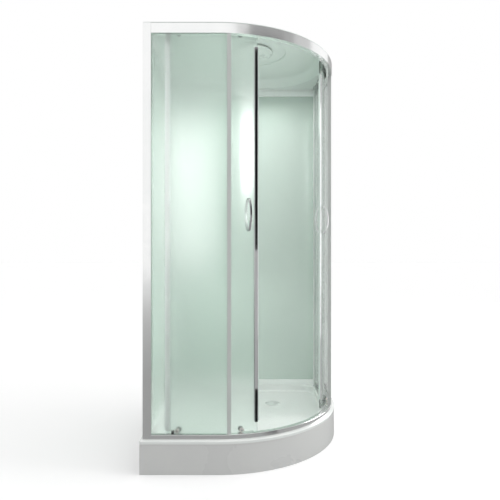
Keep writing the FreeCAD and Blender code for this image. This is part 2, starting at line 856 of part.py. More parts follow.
def make_trail_strip():
    """U strip on the trailing edge, its lip towards the fixed pane's strip."""
    low, high = door_bottom + 11, fascia_low + 14
    half_width = trail_width / 2
    outer = clip(-half_width, half_width, door_out - glass_play - strip_wall,
                 door_in + glass_play + strip_wall, low, high, 0.6)
    slot = clip(glass_trail - half_width - fit, half_width + 1, door_out - glass_play,
                door_in + glass_play, low - 1, high + 1)
    lip = clip(1 - half_width, 1 - half_width + strip_wall, door_out - trail_lip,
               door_out - glass_play - strip_wall / 2, bottom_top + 2, fascia_low - 2)
    return at_arc(fused([outer.cut(slot), lip]), degrees_back(door_arc - half_width))


def make_drip_seal():
    """Clear sweep under the glass: a clip-on foot that stops short of the sill."""
    low = door_bottom - drip_height + 5
    section = [
        (door_out - 1.4, low, 0),
        (door_out - 1.4, door_bottom + 5, 0),
        (door_out - 0.2, door_bottom + 5, 0),
        (door_out - 0.2, door_bottom - 0.2, 0),
        (door_in + 0.2, door_bottom - 0.2, 0),
        (door_in + 0.2, door_bottom + 5, 0),
        (door_in + 1.4, door_bottom + 5, 0),
        (door_in + 1.4, low + 2, 0),
        (door_out + 1.0, low + 2, 0),
        (door_out + 0.4, low, 0),
    ]
    return along_front(section, arc_from=degrees_back(door_arc - trail_width - 2),
                       arc_to=degrees_back(26))


def make_roller_mount():
    """Axle, stand-off, glass bush and cabin-side cap, as one turned piece."""
    wheel_n1 = door_out - wheel_standoff
    wheel_n0 = wheel_n1 - wheel_width
    return turned([
        (wheel_n0 - fit - axle_head, 0, 0),
        (wheel_n0 - fit - axle_head, hub_radius, 0),
        (wheel_n0 - fit, hub_radius, 0),
        (wheel_n0 - fit, axle_radius, 0),
        (wheel_n1 + fit, axle_radius, 0),
        (wheel_n1 + fit, hub_radius, 0),
        (door_out - 2, hub_radius, 0),
        (door_out - 2, hub_radius + 4, 0),
        (door_out, hub_radius + 4, 0),
        (door_out, bush_radius, 0),
        (door_in + fit, bush_radius, 0),
        (door_in + fit, cap_radius, 0),
        (door_in + fit + cap_height - cap_bevel, cap_radius, 0),
        (door_in + fit + cap_height, cap_radius - cap_bevel, 0),
        (door_in + fit + cap_height, 0, 0),
    ])


def make_wheel():
    """Flat-tread wheel with recessed sides."""
    n1 = door_out - wheel_standoff
    n0 = n1 - wheel_width
    bore = axle_radius + axle_play
    web = wheel_radius - wheel_tread
    return turned([
        (n0, bore, 0),
        (n0, hub_radius, 0),
        (n0 + wheel_dish, hub_radius, 0),
        (n0 + wheel_dish, web, 0),
        (n0, web, 0),
        (n0, wheel_radius, 0),
        (n1, wheel_radius, 0),
        (n1, web, 0),
        (n1 - wheel_dish, web, 0),
        (n1 - wheel_dish, hub_radius, 0),
        (n1, hub_radius, 0),
        (n1, bore, 0),
    ])


def bow_outline(side_sign, reach, rise, turn):
    """Half-oval face in the plane of y and z, closed by the glass.

    Arcs of radius `turn` leave the glass at right angles at +rise and -rise and run
    into one long arc through `reach`.
    """
    long_radius = ((rise - turn) ** 2 + reach ** 2 - turn ** 2) / (2 * (reach - turn))
    long_y = reach - long_radius
    lean = math.atan2(rise - turn, -long_y)

    def spot(y, z, radius, angle):
        return V(0, side_sign * (y + radius * math.cos(angle)), z + radius * math.sin(angle))

    top = spot(0, rise - turn, turn, math.pi / 2)
    bottom = spot(0, turn - rise, turn, -math.pi / 2)
    upper = spot(long_y, 0, long_radius, lean)
    lower = spot(long_y, 0, long_radius, -lean)
    half_turn = (math.pi / 2 + lean) / 2
    return Part.Face(Part.Wire([
        Part.Arc(top, spot(0, rise - turn, turn, half_turn), upper).toShape(),
        Part.Arc(upper, spot(long_y, 0, long_radius, 0), lower).toShape(),
        Part.Arc(lower, spot(0, turn - rise, turn, -half_turn), bottom).toShape(),
        Part.LineSegment(bottom, top).toShape(),
    ]))


def make_handle(side_sign):
    """Oval pull on one side of the glass: -1 outside, +1 in the cabin."""
    foot = door_out if side_sign < 0 else door_in + fit
    outer = bow_outline(side_sign, handle_reach, handle_half, handle_turn)
    inner = bow_outline(side_sign, handle_reach - handle_bar, handle_half - handle_foot,
                        handle_turn - handle_bar)
    bow = outer.cut(inner).Faces[0].extrude(V(handle_width, 0, 0))
    rims = [e for e in bow.Edges if isinstance(e.Curve, Part.Circle)]
    bow = bow.makeChamfer(handle_bevel, rims)
    bow.translate(V(arc_x - handle_width / 2, -face + foot, handle_height))
    return at_arc(bow, degrees_back(handle_from_edge))


def make_handle_bushes():
    """Threaded bushes through the glass that join the two pulls."""
    bush = turned([
        (door_out, 0, 0),
        (door_out, handle_hole - fit, 0),
        (door_in + fit, handle_hole - fit, 0),
        (door_in + fit, 0, 0),
    ])
    place = degrees_back(handle_from_edge)
    return Part.makeCompound([at_roller(bush, z, place) for z in handle_bolt_heights()])


# ---------------------------------------------------------------- stops and brackets
def make_door_stops():
    """Rubber stops on the ledges, behind the rear rollers of the open doors."""
    wheel = open_wheels()[1][0]
    x1 = wheel.x - math.hypot(wheel_radius, wheel_width / 4) - stop_gap
    stops = []
    for ledge in (track_low, track_high):
        block = box(x1 - stop_long, x1, -face + web_in + 1, -face + track_edge - 2,
                    ledge, ledge + stop_high)
        face_edges = [e for e in block.Edges
                      if abs(e.CenterOfMass.x - x1) < 0.01 and abs(e.CenterOfMass.z - ledge) > 1]
        block = block.makeFillet(2.0, face_edges)
        stops += [block, mirrored(block)]
    return Part.makeCompound(stops)


def make_rail_brackets():
    """Angle brackets that join the top rail's ends to the posts."""
    x0 = -face + post_front
    plate = box(x0, x0 + bracket_wall, -face + web_in + 2, -face + rail_depth - wall - 1,
                track_high + 4, frame_top - wall)
    foot = box(x0, x0 + bracket_long, -face + web_in + 2, -face + rail_depth - wall - 1,
               frame_top - wall - bracket_wall, frame_top - wall)
    bracket = fused([plate, foot])
    return Part.makeCompound([bracket, mirrored(bracket)])


def make_rail_plugs():
    """Plugs pushed into the bottom rail's chamber where it meets the posts."""
    x0 = -face + post_front
    plug = box(x0, x0 + bracket_long, -face + web_in + fit, -face + track_edge - wall - fit,
               tray_height + wall + fit, track_low - wall - fit)
    return Part.makeCompound([plug, mirrored(plug)])


# ---------------------------------------------------------------- everything
def left_door():
    """The left door's pieces, standing open."""
    front_angle, rear_angle = roller_angles()
    pieces = {
        "door_glass": make_door_glass(),
        "lead_profile": make_lead_profile(),
        "magnet_seal": make_magnet_seal(),
        "trail_strip": make_trail_strip(),
        "drip_seal": make_drip_seal(),
        "handle_outer": make_handle(-1),
        "handle_inner": make_handle(1),
        "handle_bushes": make_handle_bushes(),
    }
    mount, wheel = make_roller_mount(), make_wheel()
    for level, z in (("top", wheel_z_high), ("bottom", wheel_z_low)):
        pieces["roller_mounts_" + level] = Part.makeCompound(
            [at_roller(mount, z, rear_angle), at_roller(mount, z, front_angle)])
        pieces["wheel_" + level + "_rear"] = at_roller(wheel, z, rear_angle)
        pieces["wheel_" + level + "_front"] = at_roller(wheel, z, front_angle)
    return {name: opened(shape) for name, shape in pieces.items()}


def build():
    """Every node's shape, by name."""
    nodes = {
        "shower_tray": make_tray(),
        "tray_apron": make_apron(),
        "tray_stand": make_stand(),
        "levelling_feet": make_feet(),
        "foot_nuts": make_foot_nuts(),
        "drain_body": make_drain_body(),
        "drain_cover": make_drain_cover(),
        "top_rail": make_top_rail(),
        "bottom_rail": make_bottom_rail(),
        "top_rail_filler": make_top_filler(),
        "bottom_rail_filler": make_bottom_filler(),
        "corner_post": make_corner_post(),
        "roof": make_roof(),
        "roof_screws": make_roof_screws(),
        "overhead_rose": make_rose(),
        "door_stops": make_door_stops(),
        "rail_brackets": make_rail_brackets(),
        "rail_plugs": make_rail_plugs(),
    }
    halves = {
        "front_post": make_front_post(),
        "wall_pane": make_wall_pane(),
        "wall_profile_top": make_wall_top(),
        "wall_profile_bottom": make_wall_bottom(),
        "fixed_pane": make_fixed_pane(),
        "fixed_strip": make_fixed_strip(),
    }
    halves.update(left_door())
    for name, shape in halves.items():
        nodes["left_" + name] = shape
        nodes["right_" + name] = mirrored(shape)
    return nodes


def report_joints():
    """Print the left door's pole and its wheels' centres and axles, standing open."""
    x, y, degrees = door_swing()
    print(f"left door pole {x:.3f} {y:.3f} swing {degrees:.4f}")
    for label, (spot, inward) in zip(("front", "rear"), open_wheels()):
        print(f"wheel {label} at {spot.x:.3f} {spot.y:.3f} inward {inward.x:.6f} {inward.y:.6f}"
              f" low {wheel_z_low:.2f} high {wheel_z_high:.2f}")


def main():
    """Build every node and write its file."""
    os.makedirs(OUT_DIR, exist_ok=True)
    nodes = build()
    for name, shape in nodes.items():
        if not shape.isValid() or not shape.Solids:
            raise ValueError(f"{name} is not a valid solid")
        shape.exportStep(os.path.join(OUT_DIR, name + ".step"))
        bounds = shape.BoundBox
        print(f"{name:28s} solids {len(shape.Solids)} faces {len(shape.Faces):4d}"
              f" z {bounds.ZMin:8.1f} {bounds.ZMax:8.1f}")
    report_joints()


main()
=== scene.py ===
"""Quadrant shower enclosure: finishes, turned and moulded pieces, and the studio.

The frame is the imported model's: X right, +Y to the back, Z up, and the origin in the
middle of the square footprint. The curved front faces +X and -Y, and the room corner
is at -X and +Y. Pieces are worked out in millimetres, and the studio in metres.
"""

import json
import logging
import math
from dataclasses import dataclass
from enum import Enum
from typing import Sequence

import bpy
import numpy as np
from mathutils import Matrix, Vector

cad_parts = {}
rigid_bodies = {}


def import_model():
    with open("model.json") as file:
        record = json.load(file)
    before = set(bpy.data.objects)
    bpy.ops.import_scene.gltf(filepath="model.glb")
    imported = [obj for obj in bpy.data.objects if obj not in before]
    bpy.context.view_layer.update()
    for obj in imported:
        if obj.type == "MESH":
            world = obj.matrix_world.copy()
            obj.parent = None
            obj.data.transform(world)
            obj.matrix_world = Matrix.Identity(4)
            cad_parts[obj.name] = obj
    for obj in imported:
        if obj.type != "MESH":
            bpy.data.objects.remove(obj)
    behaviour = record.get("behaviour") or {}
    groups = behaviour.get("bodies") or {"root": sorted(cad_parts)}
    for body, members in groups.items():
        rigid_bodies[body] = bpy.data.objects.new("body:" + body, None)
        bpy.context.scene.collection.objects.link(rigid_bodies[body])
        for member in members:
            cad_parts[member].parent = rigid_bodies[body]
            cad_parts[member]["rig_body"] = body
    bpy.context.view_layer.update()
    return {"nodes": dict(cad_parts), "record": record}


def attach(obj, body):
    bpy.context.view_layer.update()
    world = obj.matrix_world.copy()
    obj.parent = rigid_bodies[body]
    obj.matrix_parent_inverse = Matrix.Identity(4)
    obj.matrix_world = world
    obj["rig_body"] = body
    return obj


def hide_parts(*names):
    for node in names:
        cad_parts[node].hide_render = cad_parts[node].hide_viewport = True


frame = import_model()

logging.basicConfig(level=logging.INFO, format="%(levelname)s %(message)s")
log = logging.getLogger("enclosure")

Socket = bpy.types.NodeSocket
Pair = tuple[float, float]
Triple = tuple[float, float, float]
RGB = Triple
# Corners of a section, mostly radius, height, cut, and any further values.
Profile = tuple[tuple[float, ...], ...]

BODY_OF: dict[str, str] = {name: node["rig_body"] for name, node in frame["nodes"].items()}
WHITE: RGB = (1.0, 1.0, 1.0)
MM = 0.001
# Radius of the small ring that closes a turned piece at its axis.
AXIS = 0.01
# Edges that turn by more than this stay crisp.
CRISP = math.radians(38.0)
# A softened corner's guard points stand this many cuts away, on at most this part of a side.
GUARD = 1.5
GUARD_PART = 0.45
# A Mix node's colour inputs, which are factor, first and second, and its colour output.
MIX_INPUTS = (0, 6, 7)
MIX_OUTPUT = 2


class Side(Enum):
    """The enclosure's two halves, mirror images in the plane x = -y."""

    LEFT = "left"
    RIGHT = "right"


# ---- shader building
class Graph:
    """Adds nodes to one tree, links them, and sets their plain values."""

    def __init__(self, tree: bpy.types.NodeTree) -> None:
        """Start with an empty tree."""
        self.tree = tree
        tree.nodes.clear()

    def join(self, value: object, target: Socket) -> None:
        """Link an output to an input, or set the input's plain value.

        Args:
            value: the output, or a number, a colour or a vector.
            target: the input.
        """
        if isinstance(value, Socket):
            self.tree.links.new(value, target)
        elif target.type == "RGBA":
            target.default_value = (*value, 1.0)
        else:
            target.default_value = value

    def add(self, kind: str, settings: dict[str, object] | None = None,
            **inputs: object) -> bpy.types.Node:
        """Add a node, set it up, and feed its inputs.

        Args:
            kind: the node's type name.
            settings: its attributes.
            inputs: what each named input gets, an underscore standing for a space.

        Returns:
            The new node.
        """
        node = self.tree.nodes.new(kind)
        for name, value in (settings or {}).items():
            setattr(node, name, value)
        for name, value in inputs.items():
            self.join(value, node.inputs[name.replace("_", " ")])
        return node

    def combine(self, operation: str, *values: Socket | float) -> Socket:
        """Work out one sum.

        Args:
            operation: the sum's name.
            values: its terms in order.

        Returns:
            The socket with the answer.
        """
        node = self.add("ShaderNodeMath", {"operation": operation})
        for value, target in zip(values, node.inputs):
            self.join(value, target)
        return node.outputs[0]

    def blend(self, part: Socket, low: RGB | Socket, high: RGB) -> Socket:
        """Mix two colours.

        Args:
            part: how much of the second colour, from 0 to 1.
            low: the first colour.
            high: the second colour.

        Returns:
            The socket with the mixed colour.
        """
        node = self.add("ShaderNodeMix", {"data_type": "RGBA"})
        for value, place in zip((part, low, high), MIX_INPUTS):
            self.join(value, node.inputs[place])
        return node.outputs[MIX_OUTPUT]

    def coordinates(self) -> Socket:
        """Give the piece's own coordinates, from one node."""
        node = self.tree.nodes.get("Texture Coordinate") or self.add("ShaderNodeTexCoord")
        return node.outputs["Object"]

    def effect(self, which: "Effect", **inputs: object) -> bpy.types.Node:
        """Place a shared group, fed on the piece's own coordinates.

        Args:
            which: the group.
            inputs: what its other inputs get.

        Returns:
            The group's node.
        """
        tree = bpy.data.node_groups[which.value]
        return self.add("ShaderNodeGroup", {"node_tree": tree}, Vector=self.coordinates(),
                        **inputs)

    def show(self, shader: bpy.types.Node, output: str = "ShaderNodeOutputMaterial") -> None:
        """Link a shader to the surface."""
        self.join(shader.outputs[0], self.add(output).inputs["Surface"])


def new_material(name: str) -> tuple[bpy.types.Material, Graph]:
    """Make a material with an empty tree.

    Args:
        name: its name.

    Returns:
        The material, and a graph for its tree.
    """
    made = bpy.data.materials.new(name)
    made.use_nodes = True
    return made, Graph(made.node_tree)


class Effect(Enum):
    """Shader node groups that several finishes share."""

    GRAIN = "fine_grain"
    CLOUDS = "soft_clouds"


def new_group(effect: Effect, vectors: Sequence[str], numbers: Sequence[str],
              outputs: Sequence[str]) -> Graph:
    """Make an empty shader node group with named sockets.

    Args:
        effect: which group.
        vectors: names of its vector inputs.
        numbers: names of its number inputs.
        outputs: names of its outputs, all of them numbers.

    Returns:
        A graph for the group's tree.
    """
    tree = bpy.data.node_groups.new(effect.value, "ShaderNodeTree")
    for names, way, kind in ((vectors, "INPUT", "Vector"), (numbers, "INPUT", "Float"),
                             (outputs, "OUTPUT", "Float")):
        for name in names:
            tree.interface.new_socket(name, in_out=way, socket_type="NodeSocket" + kind)
    return Graph(tree)


def build_grain() -> None:
    """Fine grain: noise on coordinates stretched per axis, as a mask and a height."""
    graph = new_group(Effect.GRAIN, ("Vector", "Stretch"), ("Depth",), ("Mask", "Height"))
    ends = graph.add("NodeGroupInput").outputs
    stretch = graph.add("ShaderNodeVectorMath", {"operation": "MULTIPLY"})
    graph.join(ends["Vector"], stretch.inputs[0])
    graph.join(ends["Stretch"], stretch.inputs[1])
    noise = graph.add("ShaderNodeTexNoise", Vector=stretch.outputs[0], Scale=1.0,
                      Detail=3.0, Roughness=0.6).outputs["Fac"]
    height = graph.combine("MULTIPLY", noise, ends["Depth"])
    graph.add("NodeGroupOutput", Mask=noise, Height=height)


def build_clouds() -> None:
    """Soft clouds: broad noise spread between a low and a high value."""
    graph = new_group(Effect.CLOUDS, ("Vector",), ("Scale", "Low", "High"), ("Value", "Mask"))
    ends = graph.add("NodeGroupInput").outputs
    noise = graph.add("ShaderNodeTexNoise", Vector=ends["Vector"], Scale=ends["Scale"],
                      Detail=4.0, Roughness=0.55, Distortion=0.4)
    mask = graph.add("ShaderNodeMapRange", {"interpolation_type": "SMOOTHSTEP"},
                     Value=noise.outputs["Fac"], From_Min=0.32, From_Max=0.68).outputs["Result"]
    spread = graph.add("ShaderNodeMapRange", Value=mask, To_Min=ends["Low"],
                       To_Max=ends["High"])
    graph.add("NodeGroupOutput", Value=spread.outputs["Result"], Mask=mask)


# ---- finishes
class Grain(Enum):
    """How a surface's grain runs: frequencies along X, Y and Z, per metre."""

    ALONG_RAIL = (1.5, 1.5, 5200.0)
    UPRIGHT = (4200.0, 4200.0, 3.0)
    PEBBLED = (900.0, 900.0, 900.0)
    ETCHED = (2600.0, 2600.0, 2600.0)
    MOULDED = (260.0, 260.0, 260.0)
    ROLLING = (9.0, 9.0, 9.0)


@dataclass(frozen=True)
class Finish:
    """One surface finish, with its cloudy colour, roughness and grain."""

    name: str
    colour: RGB
    patch: RGB
    rough: Pair
    grain: Grain
    depth: float = 2e-5
    bump: float = 0.3
    cloud: float = 6.0
    metallic: float = 0.0
    coat: float = 0.0
    coat_rough: float = 0.08
    transmission: float = 0.0
    ior: float = 1.5
    subsurface: float = 0.0
    subsurface_reach: float = 0.004

    def material(self) -> bpy.types.Material:
        """Build the finish once.

        Returns:
            The material, made on the first call and reused after it.
        """
        title = self.name + "_finish"
        made = bpy.data.materials.get(title)
        if made is not None:
            return made
        made, graph = new_material(title)
        clouds = graph.effect(Effect.CLOUDS, Scale=self.cloud, Low=self.rough[0],
                              High=self.rough[1])
        grain = graph.effect(Effect.GRAIN, Stretch=self.grain.value, Depth=self.depth)
        tint = graph.blend(clouds.outputs["Mask"], self.colour, self.patch)
        relief = graph.add("ShaderNodeBump", Height=grain.outputs["Height"],
                           Strength=self.bump, Distance=1.0)
        graph.show(graph.add(
            "ShaderNodeBsdfPrincipled", Base_Color=tint, Roughness=clouds.outputs["Value"],
            Metallic=self.metallic, Coat_Weight=self.coat, Coat_Roughness=self.coat_rough,
            Transmission_Weight=self.transmission, IOR=self.ior,
            Subsurface_Weight=self.subsurface, Subsurface_Scale=self.subsurface_reach,
            Normal=relief.outputs["Normal"]))
        return made


TRAY = Finish("tray_acrylic", (0.86, 0.89, 0.87), (0.88, 0.905, 0.885), (0.16, 0.24),
              Grain.ROLLING, 0.0004, 0.1, 5.0, coat=0.3)
# Apron: a greyer copy of the tray's white.
APRON = Finish("apron_enamel", (0.7, 0.71, 0.7), (0.72, 0.73, 0.715), (0.26, 0.34),
               Grain.MOULDED, 2e-5, 0.2, 4.0, coat=0.15)
# Roof: white plastic drawn mint and greyer, as painted green-tinted shade from inside the cabin.
SHADED_ROOF = Finish("roof_plastic_painted_green_shade", (0.77, 0.84, 0.8), (0.785, 0.85, 0.81), (0.3, 0.38),
              Grain.ROLLING, 1e-4, 0.08, 4.0, coat=0.1)
# Rose: white plastic drawn mint like the roof, as painted green-tinted shade from inside the
# cabin.
SHADED_ROSE = Finish("rose_plastic_painted_green_shade", (0.78, 0.85, 0.81), (0.8, 0.86, 0.82), (0.24, 0.32),
              Grain.PEBBLED, 2e-5, 0.2, 12.0, coat=0.2)
RAIL = Finish("rail_polished", (0.94, 0.945, 0.94), (0.91, 0.92, 0.915), (0.13, 0.2),
              Grain.ALONG_RAIL, 1e-5, 0.25, 7.0, metallic=1.0)
# Wall profiles: aluminium drawn pale and nearly without metal, as painted light that brightens
# them where little light reaches.
LIT_FRAME = Finish("frame_painted_light", (0.93, 0.965, 0.945), (0.935, 0.97, 0.95), (0.28, 0.36),
               Grain.ALONG_RAIL, 1e-5, 0.25, 7.0, metallic=0.1)
# Corner post and right front post: a paler, nearly matte copy of the posts' aluminium, as painted
# light that brightens them in the cabin's shade.
LIT_JAMB = Finish("jamb_painted_light", (0.95, 0.975, 0.96), (0.955, 0.98, 0.965), (0.3, 0.38),
              Grain.UPRIGHT, 1e-5, 0.25, 7.0, metallic=0.1)
POST = Finish("post_polished", (0.93, 0.935, 0.93), (0.9, 0.91, 0.905), (0.12, 0.19),
              Grain.UPRIGHT, 1e-5, 0.25, 7.0, metallic=1.0)
STRIP = Finish("strip_anodised", (0.6, 0.63, 0.61), (0.63, 0.655, 0.64), (0.4, 0.5),
               Grain.UPRIGHT, 1.2e-5, 0.3, 9.0, metallic=0.2)
TRAIL = Finish("trail_strip_anodised", (0.74, 0.765, 0.75), (0.77, 0.79, 0.78), (0.34, 0.44),
               Grain.UPRIGHT, 1.2e-5, 0.3, 9.0, metallic=0.2)
CHROME = Finish("chrome_plate", (0.9, 0.905, 0.91), (0.87, 0.88, 0.885), (0.05, 0.09),
                Grain.ROLLING, 5e-5, 0.1, 18.0, metallic=1.0)
# Pulls: a darker copy of the chrome, as painted shade that darkens their reflections.
SHADED_PULL = Finish("pull_chrome_painted_shade", (0.66, 0.665, 0.67), (0.63, 0.635, 0.64), (0.06, 0.1),
              Grain.ROLLING, 5e-5, 0.1, 18.0, metallic=1.0)
NOZZLE = Finish("soft_nozzle", (0.7, 0.77, 0.73), (0.67, 0.74, 0.7), (0.45, 0.55),
                Grain.PEBBLED, 2e-5, 0.3, 60.0)
TIP = Finish("magnet_vinyl", (0.7, 0.79, 0.745), (0.72, 0.8, 0.76), (0.3, 0.4),
             Grain.UPRIGHT, 1e-5, 0.25, 9.0)
COVER = Finish("cover_chrome", (0.86, 0.87, 0.865), (0.83, 0.84, 0.835), (0.18, 0.28),
               Grain.ROLLING, 5e-5, 0.1, 18.0, metallic=0.45)
SATIN = Finish("satin_glass", (0.945, 0.987, 0.965), (0.946, 0.987, 0.966), (0.26, 0.27),
               Grain.ETCHED, 2e-5, 0.25, 4.0, transmission=1.0)
WALL_GLASS = Finish("wall_lacquered_glass", (0.6, 0.7, 0.64), (0.615, 0.71, 0.655),
                    (0.1, 0.16), Grain.ROLLING, 0.0002, 0.08, 3.0, coat=0.6)
VINYL = Finish("clear_vinyl", (0.84, 0.87, 0.85), (0.8, 0.84, 0.82), (0.28, 0.4),
               Grain.PEBBLED, 2e-5, 0.2, 30.0, transmission=0.5, ior=1.45)
RUBBER = Finish("black_rubber", (0.028, 0.028, 0.028), (0.045, 0.045, 0.044), (0.55, 0.75),
                Grain.PEBBLED, 6e-5, 0.5, 60.0)
ACETAL = Finish("grey_acetal", (0.36, 0.38, 0.38), (0.4, 0.415, 0.41), (0.32, 0.46),
                Grain.PEBBLED, 4e-5, 0.4, 40.0)
NYLON = Finish("wheel_nylon", (0.74, 0.73, 0.69), (0.69, 0.68, 0.64), (0.3, 0.45),
               Grain.PEBBLED, 3e-5, 0.4, 60.0, subsurface=0.1)
ZINC = Finish("zinc_plate", (0.58, 0.6, 0.62), (0.66, 0.66, 0.64), (0.26, 0.46),
              Grain.MOULDED, 3e-5, 0.3, 45.0, metallic=1.0)

# The roof's and the rose's white plastic carry painted green-tinted shade.
SLOT_FINISH: dict[str, Finish] = {
    "tray_white": TRAY, "roof_white": SHADED_ROOF, "rose_white": SHADED_ROSE, "rail_aluminium": RAIL,
    "strip_aluminium": STRIP, "chrome": CHROME, "satin_glass": SATIN,
    "wall_glass": WALL_GLASS, "seal_white": VINYL, "black_rubber": RUBBER,
    "grey_plastic": ACETAL, "wheel_nylon": NYLON, "zinc_steel": ZINC,
}
# Nodes with finishes of their own: the frame and jamb finishes are paler copies of aluminium that
# carry painted light, and the apron is greyer than the tray.
NODE_FINISH: dict[str, Finish] = {
    "tray_apron": APRON, "corner_post": LIT_JAMB, "left_front_post": POST,
    "right_front_post": LIT_JAMB,
}
for side_name in (side.value for side in Side):
    NODE_FINISH.update({
        side_name + "_wall_profile_top": LIT_FRAME, side_name + "_wall_profile_bottom": LIT_FRAME,
        side_name + "_trail_strip": TRAIL, side_name + "_magnet_seal": TIP})


def dress_nodes() -> None:
    """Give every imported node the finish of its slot, or one of its own."""
    for row in frame["record"]["subparts"]:
        name = row["node"]
        finish = NODE_FINISH.get(name, SLOT_FINISH[row["material_slot"]])
        piece = frame["nodes"][name]
        if not piece.material_slots:
            piece.data.materials.append(finish.material())
        for held in piece.material_slots:
            held.material = finish.material()


# ---- skins
@dataclass
class Skin:
    """A closed skin in millimetres: points, four-sided faces and three-sided faces."""

    points: np.ndarray
    quads: np.ndarray
    tris: np.ndarray

    def outward(self) -> "Skin":
        """Turn the faces round where the skin's signed volume is negative.

        The volume is a sixth of the sum, over its triangles, of a corner's dot
        product with the cross product of the other two.

        Returns:
            The skin with its faces outwards.
        """
        a, b, c, d = (self.points[self.quads[:, k]] for k in range(4))
        e, f, g = (self.points[self.tris[:, k]] for k in range(3))
        volume = sum(np.einsum("ij,ij", p, np.cross(q, r))
                     for p, q, r in ((a, b, c), (a, c, d), (e, f, g)))
        if volume < 0:
            return Skin(self.points, self.quads[:, ::-1], self.tris[:, ::-1])
        return self

    def moved(self, points: np.ndarray) -> "Skin":
        """Give the same faces other points."""
        return Skin(points, self.quads, self.tris).outward()


def joined(skins: Sequence[Skin]) -> Skin:
    """Put several skins in one, each face's numbers raised by the points before it.

    Args:
        skins: the skins.

    Returns:
        One skin.
    """
    start = np.cumsum([0] + [len(skin.points) for skin in skins[:-1]])
    return Skin(np.vstack([skin.points for skin in skins]),
                np.vstack([skin.quads + k for skin, k in zip(skins, start)]),
                np.vstack([skin.tris + k for skin, k in zip(skins, start)]))


def stacked(rings: np.ndarray, capped: bool = True) -> Skin:
    """Skin a stack of matched rings.

    Each ring's points join the next ring's. Capped ends close in a fan on the
    ring's mean point; otherwise the last ring joins the first.

    Args:
        rings: rings by points by three.
        capped: whether the two ends are closed with fans.

    Returns:
        A closed skin with its faces outwards.
    """
    loops, steps = rings.shape[:2]
    index = np.arange(loops * steps).reshape(loops, steps)
    points = rings.reshape(-1, 3)
    tris = np.zeros((0, 3), int)
    rows = index if capped else np.vstack([index, index[:1]])
    beside = np.roll(rows, -1, axis=1)
    quads = np.stack([rows[:-1], beside[:-1], beside[1:], rows[1:]], axis=-1).reshape(-1, 4)
    if capped:
        points = np.vstack([points, rings[0].mean(axis=0), rings[-1].mean(axis=0)])
        tip = np.full(steps, loops * steps)
        tris = np.vstack([np.stack([beside[0], index[0], tip], axis=-1),
                          np.stack([index[-1], beside[-1], tip + 1], axis=-1)])
    return Skin(points, quads, tris).outward()


def softened(corners: Profile, closed: bool = False, steps: int = 4) -> np.ndarray:
    """Round a profile's corners.

    A corner P with cut t, its third value, becomes the curve
    (1-u)^2 A + 2u(1-u) P + u^2 B, A and B being t along its two sides, between
    guard points a little further out. Values after the third follow the same mix,
    and are 0 where a row has none.

    Args:
        corners: (radius, height, cut, more...) in order.
        closed: whether the last corner joins the first.
        steps: spans of each rounded corner.

    Returns:
        Rows of (radius, height, more...).
    """
    wide = max(map(len, corners))
    table = np.array([(*row, *(0.0,) * (wide - len(row))) for row in corners])
    cut, spots = table[:, 2], np.delete(table, 2, axis=1)
    sides = np.stack([np.roll(spots, 1, axis=0), np.roll(spots, -1, axis=0)]) - spots
    span = np.maximum(np.linalg.norm(sides[..., :2], axis=-1), 1e-9)
    reach = np.array([1.0, GUARD])[:, None, None]
    part = np.minimum(reach * cut / span, GUARD_PART * reach / GUARD)
    (a, b), guards = (spots + part[..., None] * sides)[..., None, :]
    u = np.linspace(0.0, 1.0, steps + 1)[None, :, None]
    bend = (1 - u) ** 2 * a + 2 * u * (1 - u) * spots[:, None] + u ** 2 * b
    rows = np.concatenate([guards[0], bend, guards[1]], axis=1)
    if closed:
        return rows.reshape(-1, spots.shape[1])
    inner = rows[1:-1].reshape(-1, spots.shape[1])
    return np.vstack([spots[:1], inner, spots[-1:]])


def mirrored(half: Profile, middle: float) -> Profile:
    """Follow half a section by its mirror image about the middle's height."""
    return half + tuple((row[0], 2 * middle - row[1], *row[2:]) for row in half[::-1])


def around(count: int) -> np.ndarray:
    """Angles that divide a full turn evenly."""
    return np.linspace(0.0, 2 * np.pi, count, endpoint=False)


def lathe(profile: np.ndarray, steps: int = 60, capped: bool = True) -> Skin:
    """Turn a profile about the upright axis.

    The point (r, h) at turn t stands at (r cos t, r sin t, h). A third column w from
    0 to 1 draws the ring to a hexagon: r is multiplied by
    1 - w + w cos 30 / cos((t mod 60) - 30).

    Args:
        profile: rows of (radius, height) or (radius, height, w).
        steps: points round each ring.
        capped: whether the profile ends on its flat ends, or is a closed loop.

    Returns:
        A closed skin.
    """
    turn = around(steps)[None, :]
    sixth = np.pi / 3
    flat = np.cos(sixth / 2) / np.cos(np.mod(turn, sixth) - sixth / 2)
    hexed = profile[:, 2:3] if profile.shape[1] > 2 else np.zeros((len(profile), 1))
    radius = profile[:, :1] * (1 - hexed + hexed * flat)
    high = np.broadcast_to(profile[:, 1:2], radius.shape)
    return stacked(np.stack([radius * np.cos(turn), radius * np.sin(turn), high], axis=-1), capped)


def at_spots(skin: Skin, spots: Sequence[Pair]) -> Skin:
    """Copy a skin to several (x, y) places on the plan, as one skin."""
    return joined([skin.moved(skin.points + np.array([*spot, 0.0])) for spot in spots])


def stand_in(skin: Skin, node: str, finish: Finish, title: str = "",
             keep: bool = False) -> None:
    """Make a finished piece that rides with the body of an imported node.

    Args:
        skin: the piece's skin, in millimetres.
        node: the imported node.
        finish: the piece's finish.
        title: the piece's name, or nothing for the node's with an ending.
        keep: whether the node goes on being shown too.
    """
    name = title or node + "_finished"
    mesh = bpy.data.meshes.new(name)
    mesh.from_pydata((skin.points * MM).tolist(), [], skin.quads.tolist() + skin.tris.tolist())
    mesh.shade_smooth()
    mesh.set_sharp_from_angle(angle=CRISP)
    piece = bpy.data.objects.new(name, mesh)
    bpy.context.scene.collection.objects.link(piece)
    mesh.materials.append(finish.material())
    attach(piece, BODY_OF[node])
    if not keep:
        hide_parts(node)
    log.info("%s: %d faces", name, len(mesh.polygons))


